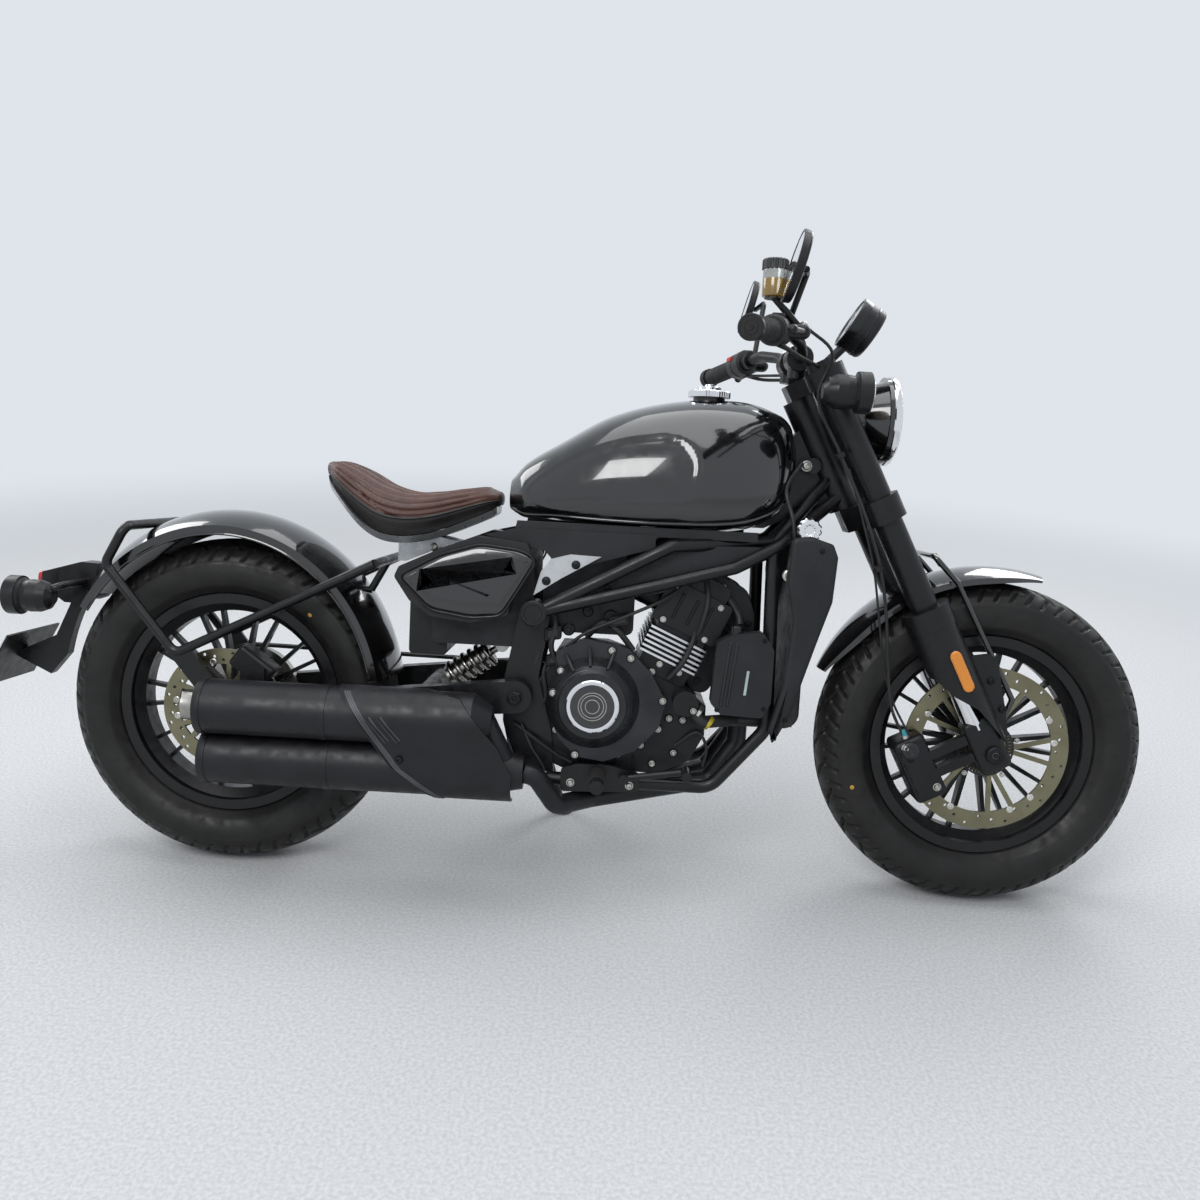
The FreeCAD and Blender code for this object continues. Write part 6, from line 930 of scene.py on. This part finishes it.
# Exhaust
COVER_EDGE = [(257, 410), (289, 367), (363, 260), (444, 198)]
COVER_TOP = 400
pipes = Batch("muffler_trim", "chassis", "black_exhaust")
for side, z in ((-203, 351), (-180, 252)):
    lathe(pipes, (5, side, z), AHEAD, [(-2, 46), (-1.5, 50.2), (0.5, 51.4), (12, 51.4), (13, 50.2)],
          "matt_black", 64)
    band(pipes, (236, side, z), AHEAD, (7, 6.4), (49.8, 51), "matt_black", 64)
    lathe(pipes, (5, side, z), BACK, [(1, 44), (3.5, 40), (4.5, 30), (4.5, 0)], "matt_black", 48)
lathe(pipes, (-25, -203, 351), AHEAD, [(0, 24.5), (-1.6, 26), (0, 27.8), (28, 27.8), (30, 29), (34, 29)],
      "steel", 48)
for ax, az, bx, bz in ((322, 356, 357, 314), (342, 358, 377, 316)):
    slot = [on_side(["muffler_cover"], ax + (bx - ax) * k / 6, az + (bz - az) * k / 6) for k in range(7)]
    sweep(pipes, [at + ACROSS * 3.4 for at in slot], 6, "grey_rim_and_highlight", 14, 2)
    # Near-black core along each slot: painted shade standing in for the slot's dark hollow.
    sweep(pipes, [at + ACROSS * 0.9 for at in slot], 3.9, "slot_shade_black", 12, 2)
side_bolts(pipes, ["muffler_cover"], [(378, 281)], 7, "black_bolt")
# The three grey beads along the cover's rear edge are a painted highlight on that edge; the thin matt black
# one is a plain bead.
for inset, radius, look in ((9, 2.2, "grey_rim_and_highlight"), (13, 2.2, "grey_rim_and_highlight"), (17, 2.2, "grey_rim_and_highlight"),
                            (3, 1.6, "matt_black")):
    edge = []
    for (ax, az), (bx, bz) in zip(COVER_EDGE, COVER_EDGE[1:]):
        for k in range(14):
            x, z = ax + (bx - ax) * k / 14 + inset, az + (bz - az) * k / 14
            at = on_side(["muffler_cover"], x, z)
            if at and z < COVER_TOP:
                edge.append(at)
    sweep(pipes, edge, radius, look, 8, 1, smooth=False)
pipes.done()


# Fork and front brake
BRAKE_HOSE = ((750, -36, -134), (640, -38, -132), (520, -40, -131), (420, -52, -128), (330, -76, -122),
              (240, -108, -112), (165, -130, -100), (112, -132, -96), (92, -128, -94))
SENSOR_WIRE = ((610, -30, -112), (520, -44, -118), (420, -62, -117), (330, -88, -112), (240, -114, -104),
               (165, -124, -97), (90, -120, -96))
fork = Batch("fork_trim", "steering", "satin_black")
for side, leg in ((-1, "fork_leg_right"), (1, "fork_leg_left")):
    lathe(fork, on_fork(56, 0, side * 97), FORK_UP, [(0, 21.1), (126, 21.1)], "chrome", 40)
    lathe(fork, on_fork(268, 0, side * 97), FORK_UP, [(-8, 29), (-6, 31), (10, 31), (12, 28)], "rubber", 40)
    for radius, low, high, look, bevel in ((10.5, 138, 146.5, "amber", 2.2),
                                           (12.5, 137, 142.5, "satin_black", 1)):
        plate(fork, capsule((150, 8), (212, 8), radius, 10), side * low, side * high, look, bevel, on_fork)
    lathe(fork, (WHEELBASE, side * 118, FRONT_AXLE_Z), (0, side, 0),
          [(0, 17), (6.2, 17), (8.6, 14.5), (8.8, 7), (7, 6), (7, 5.6)], "black_bolt", 40)
    side_bolts(fork, [leg], [(1475, 457), (1501, 404)], 6.5, "black_bolt", side)
side_bolts(fork, ["front_caliper"], [(1318, 322), (1384, 250)], 6)
side_bolts(fork, ["front_caliper"], [(1330, 300)], 5, "black_bolt")
side_caps(fork, ["front_caliper"], [(1328, 318)],
          [(-2, 17), (3, 16), (5, 13), (5.2, 8), (4, 7), (4, 0)], "cover_grey", 36)
for k in range(4):
    block(fork, on_fork(-10 + 26 * k, -156, -114), FORK_UP, FORK_AHEAD, 12, 4, 4, "engine_black", 0.8)
hoses(fork, ((3, 8, (1060, -200, 1080), (1112, -174, 1040), *(on_fork(*at) for at in BRAKE_HOSE)),
             (2.2, 8, *(on_fork(*at) for at in SENSOR_WIRE))))
for up, back in ((640, -38), (420, -57)):
    band(fork, on_fork(up, back, -128), FORK_UP, (5, 4.4), (7, 8.4), "rubber", 20)
lathe(fork, on_fork(101, -128, -94), -FORK_UP, [(-8, 4), (-7, 5.4), (5, 5.4), (9, 6.4), (12, 6.4)],
      "teal_bit", 20)
lathe(fork, on_fork(88, -128, -94), FORK_UP, [(-6, 9), (4, 9), (5, 7.5), (9, 7)], "zinc", 6)
sweep(fork, [(WHEELBASE - 130, -60, 690), (WHEELBASE - 118, -72, 672)], 5.6, "satin_black", 12, 2)
fork.done()


# Brake discs
def disc_trim(end, centre, plane, rivet_at, bolt_at, turn):
    """Rivets and bolts on a disc, still open to more shapes."""
    batch = Batch(end + "_disc_trim", end + "_wheel", "disc_steel")
    for k in range(10):
        a = math.radians(turn + k // 2 * 72 + (-10 if k % 2 else 10))
        lathe(batch, centre + around(rivet_at, a, plane - 2.5), RIGHT,
              [(-0.5, 6.4), (1.2, 6.4), (1.8, 5.4), (1.8, 3.4), (0.9, 3), (0.9, 0)], "zinc", 22)
    for k in range(5):
        at = centre + around(bolt_at, math.radians(turn + k * 72), plane - 2.5)
        bolt(batch, at, RIGHT, 4, kind="hex")
    return batch


front_disc = disc_trim("front", FRONT_AXLE, -66, 132, 62, 18)
FRONT_RING = FRONT_AXLE + Vector((0, -69.2, 0))
for low, high in ((40, 43.5), (50.5, 54)):
    lathe(front_disc, FRONT_RING, RIGHT, [(0, high), (1.8, high), (1.8, low), (0, low)], "core_metal", 72,
          loop=True)
for k in range(48):
    radial = around(1, math.tau * k / 48)
    block(front_disc, FRONT_RING + radial * 47 + Vector((0, -0.9, 0)), radial, radial.cross(ACROSS),
          8, 3, 1.8, "core_metal", 0.2)
front_disc.done()
disc_trim("rear", REAR_AXLE, -88, 90, 50, 40).done()


# Handlebar
BAR_OUT, BAR_BEND = 387, 176
GRIP_LONG = 117
HOUSE_IN = 141.3
LEVER_AHEAD = 46.5
CLAMP_X, CLAMP_OUT, CLAMP_Z = 1072, 45, 1046
MIRROR_X, MIRROR_OUT, MIRROR_Z = 1008, 330, 1157
LEFT_MIRROR_LIFT = 44
MIRROR_BACK, DIAL_BACK = facing_back(14), facing_back(30)
grip = [(1, 17.2)]
for start in range(5, 111, 7):
    grip += [(start, 17.4), (start + 1.2, 18.8), (start + 4.2, 18.8), (start + 5.4, 17.4)]
grip.append((GRIP_LONG, 17.2))


def bar_end(side):
    """End of the bar on one side and the way in along its grip."""
    end = Vector((944, side * BAR_OUT, 1048))
    return end, (Vector((1030, side * BAR_BEND, 1075)) - end).normalized()


bars = Batch("handlebar_trim", "steering", "black_plastic")
for side in (-1, 1):
    end, inward = bar_end(side)
    lathe(bars, end, inward, grip, "grip_rubber", 40)
    lathe(bars, end + inward * GRIP_LONG, inward, [(-5, 17), (-5, 22), (-1, 22.6), (0.5, 21)],
          "grip_rubber", 40)
    lathe(bars, end - inward * 16.3, -inward,
          [(-3, 21.4), (-0.6, 21.4), (0.6, 20.2), (0.6, 17), (-0.8, 16.2), (-0.8, 13.4), (0.9, 12.8),
           (0.9, 9.4), (-0.6, 8.8), (-0.6, 5.2), (1.6, 4.8), (1.6, 0)], "satin_black", 48)
    house = end + inward * HOUSE_IN
    lathe(bars, house, inward, [(-24, 24), (-23, 26.2), (-3, 26.4), (-1.6, 25.2), (1.6, 25.2), (3, 26.4),
                                (23, 26.2), (24, 24)], "black_plastic", 36)
    buttons = house + Vector((-1, 0, 0.25)).normalized() * 26
    block(bars, buttons + Vector((0, 0, 4)), inward, UP, 18, 10, 8, "red_button", 1.5)
    block(bars, buttons + Vector((0, 0, -10)), inward, UP, 14, 8, 7, "black_gloss_plastic", 1.2)
    block(bars, house + Vector((6, 0, 24)), inward, AHEAD, 34, 22, 10, "black_plastic", 2)
    bolt(bars, house + Vector((LEVER_AHEAD, 0, 12)), UP, 5.5)
    hoses(bars, (
        (3.6, 8, house + Vector((10, 0, -22)), house + inward * 50 + Vector((30, 0, -40)),
         (1112, side * 96, 1022), on_fork(775, 8, side * 74), on_fork(764, 16, side * 66)),
        (3, 8, house + Vector((4, 0, -24)), house + inward * 60 + Vector((14, 0, -34)),
         (1096, side * 78, 1026), on_fork(775, -8, side * 60), on_fork(764, -2, side * 52))))
    band(bars, (CLAMP_X, side * CLAMP_OUT, CLAMP_Z), (0, side, 0), (24, 22), (24, 25.5), "satin_black", 32)
    for k in (-1, 1):
        bolt(bars, (CLAMP_X + k * 15, side * CLAMP_OUT, CLAMP_Z + 20), (k * 0.3, 0, 1), 4.6)
    mirror = (MIRROR_X, side * MIRROR_OUT, MIRROR_Z + (LEFT_MIRROR_LIFT if side > 0 else 0))
    lathe(bars, mirror, MIRROR_BACK, [(-6, 58.6), (0.2, 58.8), (1.4, 57.4), (1.2, 54.6), (-1, 54.2)],
          "satin_black", 64)
    lathe(bars, mirror, MIRROR_BACK, [(-1, 54.4), (0.5, 54.4), (0.8, 50), (0.9, 0)], "mirror_glass", 64)

# Fluid reservoir on the right
end, inward = bar_end(-1)
base = end + inward * HOUSE_IN + Vector((LEVER_AHEAD - 54, 0, 55))
lathe(bars, base, UP, [(-2, 16), (0, 20), (3, 20.4), (28, 20.4), (29, 20.2)], "amber_fluid", 40)
lathe(bars, base, UP, [(28, 20.2), (29, 20.4), (44, 20.4), (45, 19)], "clear_plastic", 40)
lathe(bars, base, UP, [(43, 21), (44, 22.4), (59, 22.4), (61, 20.5), (61.5, 0)], "black_plastic", 72,
      teeth=18, bite=1.6)
lathe(bars, base, UP, [(-4, 13), (-3.6, 15.6), (-1, 15.6)], "black_plastic", 32)

# Instrument
dial = Vector((1197, 0, 1113)) + DIAL_BACK * 25
lathe(bars, dial, DIAL_BACK, [(-16, 50.6), (-2, 51.6), (1.6, 51), (2.6, 48), (0.6, 45.5), (-2, 45)],
      "black_gloss_plastic", 64)
lathe(bars, dial, DIAL_BACK, [(-2, 45.6), (0.1, 45.6), (0.4, 0)], "dial_glass", 64)
lathe(bars, dial - DIAL_BACK * 34, DIAL_BACK, [(-1, 50.4), (-0.4, 51.2), (3, 51.2), (3.6, 50.4)],
      "black_gloss_plastic", 64)
_, right, above = across_of(DIAL_BACK)
for k in range(41):
    a = math.radians(-130 + 260 * k / 40)
    radial = right * math.sin(a) + above * math.cos(a)
    long = 6 if k % 5 == 0 else 3
    block(bars, dial + DIAL_BACK * 0.6 + radial * (42 - long / 2), radial, DIAL_BACK.cross(radial), long, 0.9,
          0.5, "pale_strip", 0.1)
block(bars, dial + DIAL_BACK * 0.6 - above * 4, right, above, 34, 18, 0.5, "screen_grey", 0.2)
bars.done()


# Lamps and number plate
HEADLIGHT = (1184, 0, 940)
PLATE_LONG, PLATE_TALL, PLATE_FACE = 182, 116, 3.2
PLATE_TURN = math.radians(28)
PLATE_UP = Vector((math.sin(PLATE_TURN), 0, math.cos(PLATE_TURN)))
PLATE_BACK = facing_back(28)
PLATE_MIDDLE = Vector((-447, 0, 388))


def indicator(batch, centre, axis):
    """Lens and collar on an indicator, from a point behind it."""
    lathe(batch, centre, axis, [(82, 35.2), (84.8, 34.4), (88, 28), (90, 16), (90.6, 0)], "lens_amber", 48)
    lathe(batch, centre, axis, [(60, 36), (61, 37), (83, 37), (84.6, 35.6)], "satin_black", 48)


def on_plate(a, b, depth):
    """Point across, up and out from the number plate's middle."""
    return PLATE_MIDDLE + ACROSS * a + PLATE_UP * b + PLATE_BACK * depth


lamps = Batch("front_lamps_trim", "steering", "chrome")
lathe(lamps, HEADLIGHT, AHEAD, [(70, 84.2), (72, 85.6), (78, 85.8), (82, 83.5), (84.8, 77.5), (84, 73.5)],
      "chrome", 96)
lathe(lamps, HEADLIGHT, AHEAD, [(83, 75), (86.5, 74.5), (90, 60), (92.6, 34), (93.4, 0)], "glass", 72)
for side in (-1, 1):
    indicator(lamps, (1098, side * 176, 976), AHEAD)
bolt(lamps, (1180, -75, 940), RIGHT, 7, "black_bolt")
lamps.done()

rear = Batch("rear_lamps_trim", "chassis", "black_plastic")
for side in (-1, 1):
    indicator(rear, (-317, side * 112, 524), BACK)
lathe(rear, (-391, 0, 547), BACK, [(2, 13.4), (12.4, 13.4), (14.6, 10), (15.4, 0)], "lens_red", 40)
sheet = soften(rectangle(PLATE_LONG, PLATE_TALL), 6, 3)
plate(rear, sheet, 1.6, 3.4, "plate_white", 0.5, on_plate)
rim_loop = [on_plate(a, b, PLATE_FACE) for a, b in shrink(sheet, 2)]
sweep(rear, rim_loop + rim_loop[:1], 1.3, "black_gloss_plastic", 6, smooth=False)
for a in (-60, 60):
    bolt(rear, on_plate(a, 42, PLATE_FACE), PLATE_BACK, 4.5)
block(rear, on_plate(0, 1, 8), ACROSS, PLATE_UP, 34, 30, 17, "black_plastic", 2)
rear.done()


# Fender beads
FENDER_MIDDLE = (-8, 323)
FENDER_LONG, FENDER_TALL = 343, 381
BEAD_DROP, BEAD_OUT = 44.5, 96


def fender_edge(side, start, end, count):
    """Line along the fender's edge between two turns in degrees."""
    points = []
    for k in range(count + 1):
        turn = math.radians(start + (end - start) * k / count)
        crown = Vector((FENDER_MIDDLE[0] + FENDER_LONG * math.cos(turn), 0,
                        FENDER_MIDDLE[1] + FENDER_TALL * math.sin(turn)))
        out = Vector((math.cos(turn) / FENDER_LONG, 0, math.sin(turn) / FENDER_TALL)).normalized()
        points.append(crown - out * BEAD_DROP + ACROSS * side * BEAD_OUT)
    return points


beads = Batch("fender_beads", "chassis", "gloss_black")
for side in (-1, 1):
    sweep(beads, fender_edge(side, 12 if side < 0 else 24, 148, 34), 2.8, "gloss_black", 8, 2)
beads.done()


# Studio
BACKDROP = (0.74, 0.78, 0.83, 1)
MIDDLE = Vector((0.75, 0.1, 0.5))


def lit_share(tree):
    """One for rays that should see the plain background."""
    path = add_node(tree, "LightPath")
    most = path.outputs["Is Camera Ray"]
    for name in ("Is Glossy Ray", "Is Transmission Ray"):
        pick = add_node(tree, "Math", {0: most, 1: path.outputs[name]})
        pick.operation = "MAXIMUM"
        most = pick.outputs[0]
    return most


def make_floor():
    """Pale floor that fades into the background."""
    bpy.ops.mesh.primitive_circle_add(vertices=128, radius=40.0, fill_type="NGON", location=(0.7, 0, 0))
    floor = bpy.context.object
    floor.name = "studio_floor"
    pale, tree, main = shader("studio_floor")
    speck = ramp(tree, grain(tree, 160.0, 6.0), (0.54, 0.55, 0.56), (0.66, 0.67, 0.68))
    wire(tree, main, {"Base Color": speck, "Roughness": 0.85, "Specular IOR Level": 0.2})
    glow = add_node(tree, "Emission", {"Color": BACKDROP})
    length = add_node(tree, "VectorMath", {0: add_node(tree, "TexCoord").outputs["Object"]})
    length.operation = "LENGTH"
    fade = add_node(tree, "MapRange", {"From Min": 1.9, "From Max": 5.2, "Value": length.outputs["Value"]})
    fade.interpolation_type = "SMOOTHSTEP"
    share = add_node(tree, "Math", {0: fade.outputs["Result"], 1: lit_share(tree)})
    share.operation = "MULTIPLY"
    mix = add_node(tree, "MixShader", {"Fac": share.outputs[0], 1: main.outputs["BSDF"],
                                       2: glow.outputs["Emission"]})
    wire(tree, tree.nodes["Material Output"], {"Surface": mix.outputs["Shader"]})
    floor.data.materials.append(pale)


def make_world():
    """Soft sky light, with the plain background where a ray sees it."""
    world = bpy.data.worlds.new("studio")
    world.use_nodes = True
    bpy.context.scene.world = world
    tree = world.node_tree
    ambient = wire(tree, tree.nodes["Background"], {"Color": (0.8, 0.84, 0.9, 1), "Strength": 0.5})
    seen = add_node(tree, "Background", {"Color": BACKDROP, "Strength": 1.0})
    mix = add_node(tree, "MixShader", {"Fac": lit_share(tree), 1: ambient.outputs["Background"],
                                       2: seen.outputs["Background"]})
    wire(tree, tree.nodes["World Output"], {"Surface": mix.outputs["Shader"]})


def make_lights():
    """Soft lamps aimed at the machine's middle."""
    for name, place, size, power in (
            ("key", (-0.6, -3.0, 3.4), 1.8, 85.0),
            ("top", (0.8, 0.2, 3.6), 3.2, 60.0),
            ("rim", (2.8, 2.4, 2.6), 1.6, 45.0),
            ("tail", (-2.0, 1.4, 2.2), 1.4, 25.0)):
        data = bpy.data.lights.new(name, "AREA")
        data.size = size
        data.energy = power
        lamp = bpy.data.objects.new(name, data)
        bpy.context.scene.collection.objects.link(lamp)
        lamp.location = place
        aim = MIDDLE - lamp.location
        lamp.rotation_euler = aim.to_track_quat("-Z", "Y").to_euler()


bpy.context.scene.view_settings.view_transform = "Standard"
make_floor()
make_world()
make_lights()
